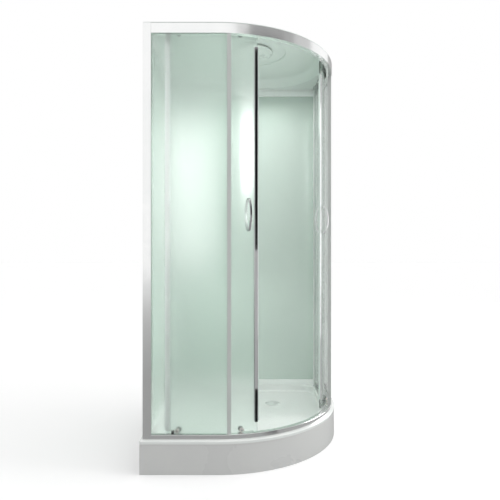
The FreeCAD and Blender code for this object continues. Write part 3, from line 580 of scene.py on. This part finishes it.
# ---- pieces of the doors
@dataclass(frozen=True)
class DoorPlace:
    """Takes a piece drawn where the arc begins to its place on an open door.

    The piece turns round the arc's centre to its place on the closed door, and then
    by the swing about the pole. Its distances inwards start at the face.
    """

    arc: Pair = (-140.0, 140.0)
    face: float = -486.0
    pole: Pair = (-211.152, 305.582)
    swing: float = -19.1228

    def put(self, skin: Skin, degrees: float, side: Side) -> Skin:
        """Place a skin whose points are (along the front, inwards, up).

        A turn by t takes (x, y) from its centre to (x cos t - y sin t, x sin t + y cos t).

        Args:
            skin: the skin.
            degrees: its place round the arc of a closed door.
            side: which door.

        Returns:
            The placed skin.
        """
        plan = skin.points[:, :2] + np.array([self.arc[0], self.face])
        for centre, t in ((self.arc, math.radians(degrees)),
                          (self.pole, math.radians(self.swing))):
            spin = np.array([[math.cos(t), math.sin(t)], [-math.sin(t), math.cos(t)]])
            plan = (plan - np.array(centre)) @ spin + np.array(centre)
        if side is Side.RIGHT:
            plan = -plan[:, ::-1]
        return skin.moved(np.column_stack([plan, skin.points[:, 2]]))


@dataclass
class Handles:
    """Half-oval pulls on both faces of the door glass, with a full rounded section."""

    degrees: float = 39.705
    height: float = 1206.0
    rise: float = 80.0
    reach: float = 36.0
    bar: float = 7.0
    foot: float = 10.5
    turn: float = 21.0
    width: float = 12.0
    outer_face: float = 46.0
    inner_face: float = 52.3
    fullness: float = 0.48
    short_steps: int = 14
    long_steps: int = 48
    section_steps: int = 36
    place: DoorPlace = DoorPlace()

    def outline(self, reach: float, rise: float, turn: float) -> np.ndarray:
        """Draw a half-oval of a short arc, a long arc and a short arc.

        The long arc of radius R = ((rise-turn)^2 + reach^2 - turn^2) / (2 (reach-turn))
        passes through the reach, and the short ones meet it and the glass squarely.

        Args:
            reach: distance from the glass at mid height.
            rise: half the height at the glass.
            turn: radius of the short arcs.

        Returns:
            Rows of (distance from the glass, height).
        """
        long_arc = ((rise - turn) ** 2 + reach ** 2 - turn ** 2) / (2 * (reach - turn))
        back = reach - long_arc
        lean = math.atan2(rise - turn, -back)
        short = np.linspace(np.pi / 2, lean, self.short_steps)
        spans = [(0.0, rise - turn, turn, short),
                 (back, 0.0, long_arc, np.linspace(lean, -lean, self.long_steps)[1:-1]),
                 (0.0, turn - rise, turn, -short[::-1])]
        return np.vstack([np.column_stack([y + r * np.cos(t), z + r * np.sin(t)])
                          for y, z, r, t in spans])

    def bow(self, outward: bool) -> Skin:
        """Carry a full rounded section along the half-oval.

        The section at a place is the middle of the outer and inner outlines, plus
        half their difference times cos^k t, plus half the width times sin^k t.

        Args:
            outward: whether it stands on the outer face of the glass.

        Returns:
            The pull's skin.
        """
        outer = self.outline(self.reach, self.rise, self.turn)
        inner = self.outline(self.reach - self.bar, self.rise - self.foot, self.turn - self.bar)
        turn = around(self.section_steps)
        deep, wide = (np.sign(f) * np.abs(f) ** self.fullness
                      for f in (np.cos(turn), np.sin(turn)))
        path = (outer + inner)[:, None] / 2 + (outer - inner)[:, None] / 2 * deep[None, :, None]
        along = np.broadcast_to(self.width / 2 * wide, path.shape[:2])
        inwards = self.outer_face - path[..., 0] if outward else self.inner_face + path[..., 0]
        return stacked(np.stack([along, inwards, self.height + path[..., 1]], axis=-1))

    def build(self) -> None:
        """Make the four pulls."""
        for side in Side:
            for node, outward in (("handle_outer", True), ("handle_inner", False)):
                stand_in(self.place.put(self.bow(outward), self.degrees, side),
                         f"{side.value}_{node}", SHADED_PULL)


@dataclass
class Rollers:
    """Wheels, and the turned mounts that carry them through the glass.

    The ends are in degrees round the arc, and the levels are heights. The wheel's
    section is given as far as its middle.
    """

    ends: tuple[tuple[str, float], ...] = (("front", 35.773), ("rear", 6.434))
    levels: tuple[tuple[str, float], ...] = (("bottom", 189.3), ("top", 2059.3))
    steps: int = 48
    wheel: Profile = (
        (3.08, 24.0, 0.15), (4.9, 24.0, 0.3), (5.2, 25.5, 0.2), (6.9, 25.2, 0.2),
        (7.2, 25.8, 0.2), (8.8, 25.6, 0.4), (9.2, 24.1, 0.4), (10.5, 24.0, 0.6),
        (11.0, 25.6, 0.6))
    wheel_middle: float = 28.5
    mount: Profile = (
        (AXIS, 22.6, 0.0), (3.6, 22.5, 0.2), (5.0, 22.4, 0.4), (5.0, 23.7, 0.1),
        (3.0, 23.7, 0.1), (3.0, 33.3, 0.1), (5.0, 33.3, 0.3), (5.0, 43.6, 0.5),
        (8.9, 44.2, 0.4), (9.0, 46.0, 0.1), (5.8, 46.0, 0.1), (5.8, 52.3, 0.1),
        (12.0, 52.3, 0.2), (12.0, 57.6, 1.4), (10.2, 59.5, 1.6), (5.2, 60.25, 0.6),
        (3.5, 60.2, 0.3, 1.0), (3.2, 57.6, 0.3, 1.0), (AXIS, 57.2, 0.0, 1.0))
    place: DoorPlace = DoorPlace()

    def laid(self, skin: Skin, height: float, degrees: float, side: Side) -> Skin:
        """Lay a turned skin along the inward line at a roller.

        Args:
            skin: the skin, turned about the upright axis.
            height: the roller's height.
            degrees: its place round the arc.
            side: which door.

        Returns:
            The placed skin.
        """
        x, y, z = skin.points.T
        return self.place.put(skin.moved(np.column_stack([x, z, height + y])), degrees, side)

    def build(self) -> None:
        """Make eight wheels and four pairs of mounts."""
        section = softened(mirrored(self.wheel, self.wheel_middle), closed=True)
        wheel = lathe(section, self.steps, capped=False)
        mount = lathe(softened(self.mount), self.steps)
        for side in Side:
            for level, height in self.levels:
                for end, degrees in self.ends:
                    stand_in(self.laid(wheel, height, degrees, side),
                             f"{side.value}_wheel_{level}_{end}", NYLON)
                pair = [self.laid(mount, height, degrees, side) for _, degrees in self.ends]
                stand_in(joined(pair), f"{side.value}_roller_mounts_{level}", ACETAL)


# ---- roof fittings
@dataclass
class Rose:
    """Overhead rose: rounded plate, recessed face with soft nozzles, threaded inlet."""

    middle: Pair = (15.0, -15.0)
    plate: Profile = (
        (AXIS, 2131.9, 0.0), (110.0, 2131.9, 0.4), (112.5, 2130.6, 0.8), (119.0, 2130.5, 1.5),
        (122.8, 2132.4, 1.8), (123.0, 2136.6, 1.6), (112.0, 2139.5, 4.0), (93.0, 2142.3, 4.0),
        (11.9, 2142.4, 0.3), (11.9, 2148.5, 0.4), (9.8, 2148.5, 0.1))
    thread_root: float = 9.7
    thread_crest: float = 10.5
    thread_pitch: float = 1.4
    thread_span: Pair = (2149.2, 2159.2)
    thread_rows: int = 64
    mouth: Profile = (
        (9.7, 2159.4, 0.0), (9.7, 2160.0, 0.3), (7.4, 2160.0, 0.3), (7.2, 2151.0, 0.5),
        (AXIS, 2151.0, 0.0))
    nozzle: Profile = (
        (AXIS, 2130.9, 0.0), (0.9, 2130.7, 0.3), (1.9, 2130.9, 0.3), (2.5, 2132.2, 0.1),
        (AXIS, 2132.3, 0.0))
    nozzle_rings: tuple[float, ...] = (16.0, 30.0, 44.0, 58.0, 72.0, 86.0, 100.0)
    nozzle_gap: float = 13.5
    plate_steps: int = 120
    nozzle_steps: int = 12

    def profile(self) -> np.ndarray:
        """Put the plate's section, the inlet's ridges and its mouth in one.

        The ridges' radius is the root plus half the thread's depth times
        1 - cos(2 pi h / pitch).

        Returns:
            Rows of (radius, height).
        """
        low, high = self.thread_span
        h = np.linspace(low, high, self.thread_rows)
        depth = (self.thread_crest - self.thread_root) / 2
        ridges = self.thread_root + depth * (1 - np.cos(2 * np.pi * (h - low) / self.thread_pitch))
        return np.vstack([softened(self.plate), np.column_stack([ridges, h]),
                          softened(self.mouth)])

    def nozzle_spots(self) -> list[Pair]:
        """Place one nozzle in the middle and the rest on rings, about a gap apart.

        Each ring is turned by as many radians as its radius, so that the rows don't
        line up.

        Returns:
            (x, y) of each nozzle.
        """
        spots = [self.middle]
        for radius in self.nozzle_rings:
            count = round(2 * math.pi * radius / self.nozzle_gap)
            turn = around(count) + radius
            spots += list(zip(self.middle[0] + radius * np.cos(turn),
                              self.middle[1] + radius * np.sin(turn)))
        return spots

    def build(self) -> None:
        """Make the plate with its inlet, and the nozzles."""
        plate = lathe(self.profile(), self.plate_steps)
        stand_in(at_spots(plate, [self.middle]), "overhead_rose", SHADED_ROSE)
        tip = lathe(softened(self.nozzle, steps=1), self.nozzle_steps)
        stand_in(at_spots(tip, self.nozzle_spots()), "overhead_rose", NOZZLE,
                 "rose_nozzles", keep=True)


@dataclass
class RoofScrews:
    """Pan-head screws with a hexagon socket, through the roof's flange."""

    spots: tuple[Pair, ...] = (
        (-396.0, -458.0), (-200.0, -458.0), (88.845, -412.48), (412.48, -88.845),
        (458.0, 200.0), (458.0, 396.0))
    section: Profile = (
        (AXIS, 2083.2, 0.0), (1.4, 2083.2, 0.2), (2.0, 2084.6, 0.2), (2.0, 2094.5, 0.1),
        (4.4, 2094.5, 0.2), (4.5, 2095.4, 0.5), (3.3, 2096.9, 0.6), (2.1, 2097.1, 0.15),
        (1.8, 2097.05, 0.1, 1.0), (1.7, 2095.6, 0.1, 1.0), (AXIS, 2095.5, 0.0, 1.0))
    steps: int = 36

    def build(self) -> None:
        """Make the six screws."""
        screw = lathe(softened(self.section, steps=3), self.steps)
        stand_in(at_spots(screw, self.spots), "roof_screws", ZINC)


# ---- tray fittings
@dataclass
class Drain:
    """Domed bright cover with a plug collar."""

    middle: Pair = (148.0, 203.0)
    section: Profile = (
        (26.0, 103.6, 0.2), (28.0, 103.6, 0.2), (28.0, 113.5, 0.3), (44.6, 113.5, 0.3),
        (45.0, 114.6, 0.4), (44.2, 115.6, 0.6), (38.0, 117.9, 3.0), (24.0, 119.1, 5.0),
        (8.0, 119.5, 4.0), (AXIS, 119.5, 0.0))
    inside: Profile = ((AXIS, 113.6, 0.0), (26.0, 113.6, 0.3), (26.0, 104.0, 0.1))
    steps: int = 96

    def build(self) -> None:
        """Make the cover."""
        profile = np.vstack([softened(self.inside), softened(self.section)])
        stand_in(at_spots(lathe(profile, self.steps), [self.middle]), "drain_cover", COVER)


@dataclass
class Feet:
    """Levelling feet: ribbed pads, threaded rods and chamfered lock nuts.

    The nut's section is given as far as its middle.
    """

    spots: tuple[Pair, ...] = (
        (-330.0, -330.0), (-330.0, 330.0), (330.0, 330.0), (165.863, -330.0),
        (330.0, -165.863))
    pad: Profile = (
        (AXIS, 0.0, 0.0), (24.4, 0.0, 0.4), (25.0, 0.8, 0.4), (24.8, 2.6, 0.3),
        (23.6, 2.9, 0.2), (23.4, 4.6, 0.6), (20.0, 6.6, 0.8), (12.0, 7.4, 0.8),
        (9.6, 7.8, 0.3), (6.4, 8.0, 0.2))
    rod_bottom: float = 8.2
    rod_top: float = 85.5
    rod_end: float = 0.9
    rod_root: float = 5.35
    rod_crest: float = 5.98
    pitch: float = 1.75
    rows_per_turn: int = 6
    steps: int = 30
    nut: Profile = (
        (6.3, 75.5, 0.2), (9.4, 75.5, 0.2), (10.97, 76.5, 0.2, 1.0))
    nut_middle: float = 80.5
    nut_steps: int = 60

    def foot(self) -> Skin:
        """Put pad and rod in one stack of rings.

        The rod's radius at height h and turn t is the root plus the thread's depth
        times the triangle wave of h / pitch - t / full turn, so its ridge climbs. Its
        top ring is drawn in to a part of the one below.

        Returns:
            The foot's skin.
        """
        pad = lathe(softened(self.pad, steps=3), self.steps, capped=False)
        turn = around(self.steps)[None, :]
        rings = pad.points.reshape(-1, self.steps, 3)
        h = np.arange(self.rod_bottom, self.rod_top, self.pitch / self.rows_per_turn)[:, None]
        wave = 1 - np.abs(2 * np.mod(h / self.pitch - turn / (2 * np.pi), 1.0) - 1)
        radius = self.rod_root + (self.rod_crest - self.rod_root) * wave
        high = np.broadcast_to(h, radius.shape)
        rod = np.stack([radius * np.cos(turn), radius * np.sin(turn), high], axis=-1)
        top = rod[-1:] * np.array([self.rod_end, self.rod_end, 0.0])
        top = top + np.array([0.0, 0.0, self.rod_top])
        return stacked(np.concatenate([rings, rod, top]))

    def build(self) -> None:
        """Make five feet and their nuts."""
        stand_in(at_spots(self.foot(), self.spots), "levelling_feet", ZINC)
        section = softened(mirrored(self.nut, self.nut_middle), closed=True, steps=2)
        nut = lathe(section, self.nut_steps, capped=False)
        stand_in(at_spots(nut, self.spots), "foot_nuts", ZINC)


@dataclass
class AntiSlip:
    """Low raised dots over the flat of the basin's floor.

    The flat ends at the reach from the arc's centre, at the wall's distance from the
    middle, and at circles (x, y, radius) in the room corner and round the drain. A
    dot's section is its radius and height over the floor.
    """

    floor: float = 115.5
    arc: Pair = (-140.0, 140.0)
    reach: float = 500.0
    wall: float = 425.0
    corner: Triple = (-350.0, 350.0, 75.0)
    drain: Triple = (148.0, 203.0, 62.0)
    pitch: float = 18.0
    section: Profile = ((AXIS, -0.4), (4.0, -0.4), (4.0, 0.05), (3.0, 0.56), (1.4, 0.7))
    steps: int = 10

    def spots(self) -> list[Pair]:
        """Place dots on a triangle pattern, and keep those inside the floor.

        Returns:
            (x, y) of each dot.
        """
        step = np.arange(-self.wall, self.wall, self.pitch)
        rows = np.arange(-self.wall, self.wall, self.pitch * math.sqrt(3) / 2)
        x = step[None, :] + (np.arange(len(rows)) % 2)[:, None] * self.pitch / 2
        y = np.broadcast_to(rows[:, None], x.shape)
        ax, ay = x - self.arc[0], y - self.arc[1]
        inside = (x > -self.wall) & (y < self.wall) & (x < self.reach + self.arc[0])
        inside &= y > self.arc[1] - self.reach
        inside &= (ax < 0) | (ay > 0) | (np.hypot(ax, ay) < self.reach)
        cx, cy, cr = self.corner
        inside &= (x > cx) | (y < cy) | (np.hypot(x - cx, y - cy) < cr)
        dx, dy, dr = self.drain
        inside &= np.hypot(x - dx, y - dy) > dr
        return list(zip(x[inside].tolist(), y[inside].tolist()))

    def build(self) -> None:
        """Make the dots as one piece on the tray."""
        profile = np.array(self.section) + np.array([0.0, self.floor])
        stand_in(at_spots(lathe(profile, self.steps), self.spots()), "shower_tray", TRAY,
                 "tray_grip_dots", keep=True)


# ---- tray and roof
@dataclass(frozen=True)
class PlanShell:
    """A closed shell over the quadrant plan, given by its section's corners.

    Each corner is (front inset, height, cut, wall inset, end corner radius, room
    corner radius, w, circle radius); w draws the ring from the quadrant, at 0, to a
    circle about the middle, at 1. The last two are left out away from the circles.
    """

    node: str
    finish: Finish
    middle: Pair
    corners: Profile
    half: float = 500.0
    radius: float = 640.0
    arc_points: tuple[int, ...] = (12, 72, 12, 14)
    run_points: tuple[int, ...] = (10, 10, 18, 18)
    corner_steps: int = 6

    def quadrant(self, rows: np.ndarray) -> np.ndarray:
        """Draw matched loops round the quadrant, one for each row.

        A loop is four arcs, centre + radius (cos t, sin t), and the straight runs
        between their ends, each with the same number of points in every loop.

        Args:
            rows: (front inset, height, wall inset, end radius, room radius, ...).

        Returns:
            Rows by points by two.
        """
        front, back, end, room = (rows[:, k][:, None, None] for k in (0, 2, 3, 4))
        low, wall = front - self.half, back - self.half
        centre = np.full_like(front, self.radius - self.half)
        places = ((wall + end, low + end, end, 180.0),
                  (-centre, centre, self.radius - front, -90.0),
                  (-low - end, -wall - end, end, 0.0),
                  (wall + room, -wall - room, room, 90.0))
        arcs = []
        for (x, y, size, first), count in zip(places, self.arc_points):
            t = np.radians(np.linspace(first, first + 90.0, count))[None, :, None]
            arcs.append(np.concatenate([x + size * np.cos(t), y + size * np.sin(t)], axis=2))
        loop = []
        for this, after, count in zip(arcs, arcs[1:] + arcs[:1], self.run_points):
            u = np.linspace(0.0, 1.0, count + 2)[None, 1:-1, None]
            loop += [this, this[:, -1:] + u * (after[:, :1] - this[:, -1:])]
        return np.concatenate(loop, axis=1)

    def build(self) -> None:
        """Blend each row's loop towards its circle, stack the rings and dress them.

        The circle's point is the middle plus its radius along the loop point's
        direction from the middle.
        """
        rows = softened(self.corners, closed=True, steps=self.corner_steps)
        loops = self.quadrant(rows)
        middle = np.array(self.middle)
        ray = (loops - middle) / np.linalg.norm(loops - middle, axis=2, keepdims=True)
        w, size = rows[:, 5][:, None, None], rows[:, 6][:, None, None]
        plan = (1 - w) * loops + w * (middle + size * ray)
        high = np.broadcast_to(rows[:, 1][:, None, None], plan.shape[:2] + (1,))
        skin = stacked(np.concatenate([plan, high], axis=2), capped=False)
        stand_in(skin, self.node, self.finish)


@dataclass(frozen=True)
class Tray(PlanShell):
    """Tray: a rounded rim, the basin's walls, and its floor round the drain's recess."""

    node: str = "shower_tray"
    finish: Finish = TRAY
    middle: Pair = (148.0, 203.0)
    corners: Profile = (
        (0.0, 141.5, 0.8, 0.0, 12.0, 12.0), (0.0, 156.5, 7.0, 0.0, 12.0, 12.0),
        (78.0, 156.5, 7.0, 39.0, 90.0, 90.0), (78.0, 115.5, 17.0, 39.0, 90.0, 90.0, 0.0, 1.0),
        (118.0, 115.5, 1.0, 79.0, 60.0, 60.0, 0.0, 46.5),
        (400.0, 115.5, 0.8, 79.0, 60.0, 60.0, 1.0, 46.5),
        (402.0, 113.5, 0.6, 79.0, 60.0, 60.0, 1.0, 46.5),
        (418.0, 113.5, 0.8, 79.0, 60.0, 60.0, 1.0, 30.0),
        (420.0, 110.5, 0.8, 79.0, 60.0, 60.0, 1.0, 30.0),
        (118.0, 110.5, 1.0, 79.0, 60.0, 60.0, 0.0, 30.0),
        (73.0, 110.5, 5.0, 34.0, 95.0, 95.0, 0.0, 1.0), (73.0, 151.5, 1.0, 34.0, 95.0, 95.0),
        (5.0, 151.5, 1.0, 5.0, 7.0, 7.0), (5.0, 141.5, 0.6, 5.0, 7.0, 7.0))


@dataclass(frozen=True)
class Roof(PlanShell):
    """Roof: a flange on the frame, a sloping skirt, and a raised round step."""

    node: str = "roof"
    finish: Finish = SHADED_ROOF
    middle: Pair = (15.0, -15.0)
    corners: Profile = (
        (15.0, 2091.0, 0.4, 15.0, 4.0, 4.0), (15.0, 2094.5, 1.2, 15.0, 4.0, 4.0),
        (74.0, 2094.5, 8.0, 58.0, 300.0, 60.0, 0.0, 1.0),
        (112.0, 2141.0, 12.0, 96.0, 262.0, 41.0, 0.0, 200.0),
        (300.0, 2141.0, 2.5, 96.0, 262.0, 41.0, 1.0, 201.5),
        (302.0, 2146.0, 2.5, 96.0, 262.0, 41.0, 1.0, 199.0),
        (420.0, 2146.0, 0.8, 96.0, 262.0, 41.0, 1.0, 12.3),
        (424.0, 2142.5, 0.8, 96.0, 262.0, 41.0, 1.0, 12.3),
        (302.0, 2142.5, 2.0, 99.5, 258.5, 41.0, 1.0, 196.5),
        (300.0, 2137.5, 2.0, 99.5, 258.5, 41.0, 1.0, 197.5),
        (115.5, 2137.5, 9.0, 99.5, 258.5, 41.0, 0.0, 197.5),
        (77.5, 2091.0, 1.0, 61.5, 296.5, 60.0, 0.0, 1.0))


# ---- studio
@dataclass(frozen=True)
class Softbox:
    """A rectangular area lamp aimed at a point, for everything or only the panes."""

    name: str
    place: Triple
    target: Triple
    size: Pair
    power: float
    diffuse: bool = True
    glossy: bool = True
    glass_only: bool = False
    spread: float = 180.0

    def build(self) -> None:
        """Make the lamp, looking from its place at its target."""
        data = bpy.data.lights.new(self.name, "AREA")
        data.shape = "RECTANGLE"
        data.size, data.size_y = self.size
        data.energy = self.power
        data.spread = math.radians(self.spread)
        lamp = bpy.data.objects.new(self.name, data)
        lamp.location = self.place
        aim = Vector(self.target) - Vector(self.place)
        lamp.rotation_euler = aim.to_track_quat("-Z", "Y").to_euler()
        lamp.visible_camera = False
        lamp.visible_diffuse = self.diffuse
        lamp.visible_glossy = self.glossy
        lamp.visible_transmission = False
        bpy.context.scene.collection.objects.link(lamp)
        if self.glass_only:
            lamp.light_linking.receiver_collection = self.panes()

    def panes(self) -> bpy.types.Collection:
        """Gather the front panes once.

        Returns:
            Their collection.
        """
        held = bpy.data.collections.get("front_panes")
        if held is None:
            held = bpy.data.collections.new("front_panes")
            for side in Side:
                for name in ("_door_glass", "_fixed_pane"):
                    held.objects.link(frame["nodes"][side.value + name])
        return held


@dataclass(frozen=True)
class Card:
    """A tall curved card round the enclosure, seen only in its bright metal and glass.

    It is part of a cylinder about its centre. Azimuth 0 is the camera's side and 90
    the right; the level is 1 for white and 0 for black.
    """

    name: str
    azimuth: Pair
    height: Pair
    radius: float
    level: float
    centre: Pair = (0.0, 0.0)
    steps: int = 24

    def build(self) -> None:
        """Make the card, seen by reflected rays alone."""
        turn = np.radians(np.linspace(*self.azimuth, self.steps + 1))
        ring = np.stack([self.centre[0] + self.radius * np.sin(turn),
                         self.centre[1] - self.radius * np.cos(turn)], axis=1)
        low, high = (np.column_stack([ring, np.full(len(ring), z)]) for z in self.height)
        card = stage_sheet(self.name, np.stack([low, high]))
        card.data.materials.append(self.material())
        for ray in ("camera", "diffuse", "transmission", "shadow", "volume_scatter"):
            setattr(card, "visible_" + ray, False)

    def material(self) -> bpy.types.Material:
        """Build the card's plain glow.

        Returns:
            The material, at the card's level.
        """
        made, graph = new_material(self.name)
        graph.show(graph.add("ShaderNodeEmission", Color=WHITE, Strength=self.level))
        return made


def stage_sheet(name: str, grid: np.ndarray) -> bpy.types.Object:
    """Make a sheet of the stage from a grid of points.

    Args:
        name: the object's name.
        grid: points, as rows by columns by three.

    Returns:
        The new object.
    """
    rows, columns = grid.shape[:2]
    index = np.arange(rows * columns).reshape(rows, columns)
    quads = np.stack([index[:-1, :-1], index[:-1, 1:], index[1:, 1:], index[1:, :-1]], axis=-1)
    mesh = bpy.data.meshes.new(name)
    mesh.from_pydata(grid.reshape(-1, 3).tolist(), [], quads.reshape(-1, 4).tolist())
    sheet = bpy.data.objects.new(name, mesh)
    bpy.context.scene.collection.objects.link(sheet)
    return sheet


@dataclass
class Studio:
    """Camera, white world, pale floor, soft lamps and reflection cards."""

    camera_place: Triple = (0.0122, -2.7731, 1.0343)
    focal_pixels: float = 494.0
    frame_pixels: float = 500.0
    sensor: float = 36.0
    horizon_drop: float = 0.6
    floor_half: float = 40.0
    floor_colour: RGB = (0.46, 0.46, 0.46)
    floor_seen: RGB = (0.93, 0.93, 0.93)
    floor_lift: float = 0.17
    floor_lift_mirrored: float = 0.585
    floor_shade: RGB = (0.34, 0.34, 0.34)
    floor_mirror: Pair = (2.5, 16.0)
    floor_cloud: float = 3.0
    floor_rough: Pair = (0.6, 0.7)
    floor_gloss: float = 0.1
    clip_end: float = 200.0
    world_fill: float = 0.88
    lamps: tuple[Softbox, ...] = (
        Softbox("key_box", (3.2, -0.4, 3.6), (0.0, 0.0, 0.8), (2.2, 2.2), 55.0, glossy=False),
        Softbox("cabin_box", (0.02, 0.05, 2.03), (0.02, 0.05, 0.0), (0.56, 0.56), 3.1,
                glossy=False, spread=174.0),
        Softbox("basin_box", (0.02, 0.05, 1.0), (0.02, 0.05, 0.0), (0.5, 0.5), 0.85,
                glossy=False, spread=150.0),
        Softbox("doorway_box", (0.17, -0.17, 1.1), (-0.477, -0.15, 1.35), (0.4, 1.6), 2.2,
                glossy=False),
        Softbox("pane_box_high", (-0.51, -2.5, 1.83), (-0.51, -0.5, 1.83), (0.18, 0.7), 13.0,
                diffuse=False, glass_only=True),
        Softbox("pane_box_low", (-0.5, -2.5, 1.2), (-0.5, -0.5, 1.2), (0.2, 0.6), 8.0,
                diffuse=False, glass_only=True),
        Softbox("door_box", (1.3, -2.0, 1.9), (0.0, -0.45, 1.6), (0.26, 0.46), 46.0,
                diffuse=False, glass_only=True),
        Softbox("right_box", (3.2, 1.3, 1.2), (0.0, 0.0, 1.0), (1.6, 3.0), 70.0,
                diffuse=False),
    )
    cards: tuple[Card, ...] = (
        Card("fading_card", (12.0, 24.0), (-0.1, 6.0), 3.6, 0.72),
        Card("grey_card", (24.0, 72.0), (-0.1, 6.0), 3.6, 0.42),
        Card("pale_card", (72.0, 96.0), (-0.1, 6.0), 3.6, 0.62),
        Card("far_card", (134.0, 170.0), (2.9, 6.0), 3.8, 0.45),
        Card("pull_card", (24.0, 66.0), (1.36, 3.1), 2.7, 0.012, (0.0, -0.46)),
        Card("black_card", (48.0, 62.0), (1.04, 2.62), 1.5, 0.01, (0.03, -0.43)),
        Card("low_card", (46.0, 64.0), (0.0, 0.215), 0.55, 0.01, (0.03, -0.43)),
    )

    def build_camera(self) -> None:
        """Level camera with the photograph's field of view."""
        data = bpy.data.cameras.new("camera")
        data.sensor_width = self.sensor
        data.lens = self.focal_pixels / self.frame_pixels * self.sensor
        data.shift_y = self.horizon_drop / self.frame_pixels
        data.clip_end = self.clip_end
        camera = bpy.data.objects.new("camera", data)
        camera.location = self.camera_place
        camera.rotation_euler = (math.pi / 2, 0.0, 0.0)
        bpy.context.scene.collection.objects.link(camera)
        bpy.context.scene.camera = camera

    def build_world(self) -> None:
        """White world where it is seen, a plainer level where it lights."""
        world = bpy.data.worlds.new("white_room")
        world.use_nodes = True
        bpy.context.scene.world = world
        graph = Graph(world.node_tree)
        path = graph.add("ShaderNodeLightPath").outputs
        seen = graph.combine("MAXIMUM", path["Is Camera Ray"], path["Is Glossy Ray"])
        seen = graph.combine("MAXIMUM", seen, path["Is Transmission Ray"])
        level = graph.add("ShaderNodeMapRange", Value=seen, To_Min=self.world_fill, To_Max=1.0)
        sky = graph.add("ShaderNodeBackground", Color=WHITE, Strength=level.outputs["Result"])
        graph.show(sky, "ShaderNodeOutputWorld")

    def build_floor(self) -> None:
        """Pale floor that keeps the shadow, lifted to white where it is seen.

        The lift in bright metal grows with the distance from the enclosure. The floor
        has its colour where it lights the enclosure, its shade in bright metal, and its
        pale colour for the camera and through glass.
        """
        side = np.array([-self.floor_half, self.floor_half])
        grid = np.stack(np.broadcast_arrays(side[None, :], side[:, None], 0.0), axis=-1)
        floor = stage_sheet("floor", grid)
        made, graph = new_material("pale_floor")
        clouds = graph.effect(Effect.CLOUDS, Scale=self.floor_cloud, Low=self.floor_rough[0],
                              High=self.floor_rough[1])
        away = graph.add("ShaderNodeVectorMath", {"operation": "LENGTH"})
        graph.join(graph.coordinates(), away.inputs[0])
        far = graph.add("ShaderNodeMapRange", Value=away.outputs["Value"],
                        From_Min=self.floor_mirror[0], From_Max=self.floor_mirror[1])
        path = graph.add("ShaderNodeLightPath").outputs
        seen = graph.combine("MAXIMUM", path["Is Camera Ray"], path["Is Transmission Ray"])
        mirrored = graph.combine("MULTIPLY", path["Is Glossy Ray"], far.outputs["Result"])
        lift = graph.combine("MAXIMUM", graph.combine("MULTIPLY", seen, self.floor_lift),
                             graph.combine("MULTIPLY", mirrored, self.floor_lift_mirrored))
        shade = graph.blend(path["Is Glossy Ray"], self.floor_colour, self.floor_shade)
        shown = graph.blend(seen, shade, self.floor_seen)
        graph.show(graph.add("ShaderNodeBsdfPrincipled", Base_Color=shown,
                             Roughness=clouds.outputs["Value"],
                             Specular_IOR_Level=self.floor_gloss,
                             Emission_Color=WHITE, Emission_Strength=lift))
        floor.data.materials.append(made)

    def build(self) -> None:
        """Set the colour transform and build camera, world, floor, lamps and cards."""
        bpy.context.scene.view_settings.view_transform = "Standard"
        self.build_camera()
        self.build_world()
        self.build_floor()
        for lamp in self.lamps:
            lamp.build()
        for card in self.cards:
            card.build()


# ---- everything
def main() -> None:
    """Build the effects, the studio and the pieces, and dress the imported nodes."""
    build_grain()
    build_clouds()
    Studio().build()
    log.info("studio ready")
    dress_nodes()
    log.info("dressed %d packed nodes", len(frame["nodes"]))
    for piece in (Handles(), Rollers(), Rose(), RoofScrews(), Drain(), Feet(), AntiSlip(),
                  Tray(), Roof()):
        piece.build()


if __name__ == "__main__":
    main()
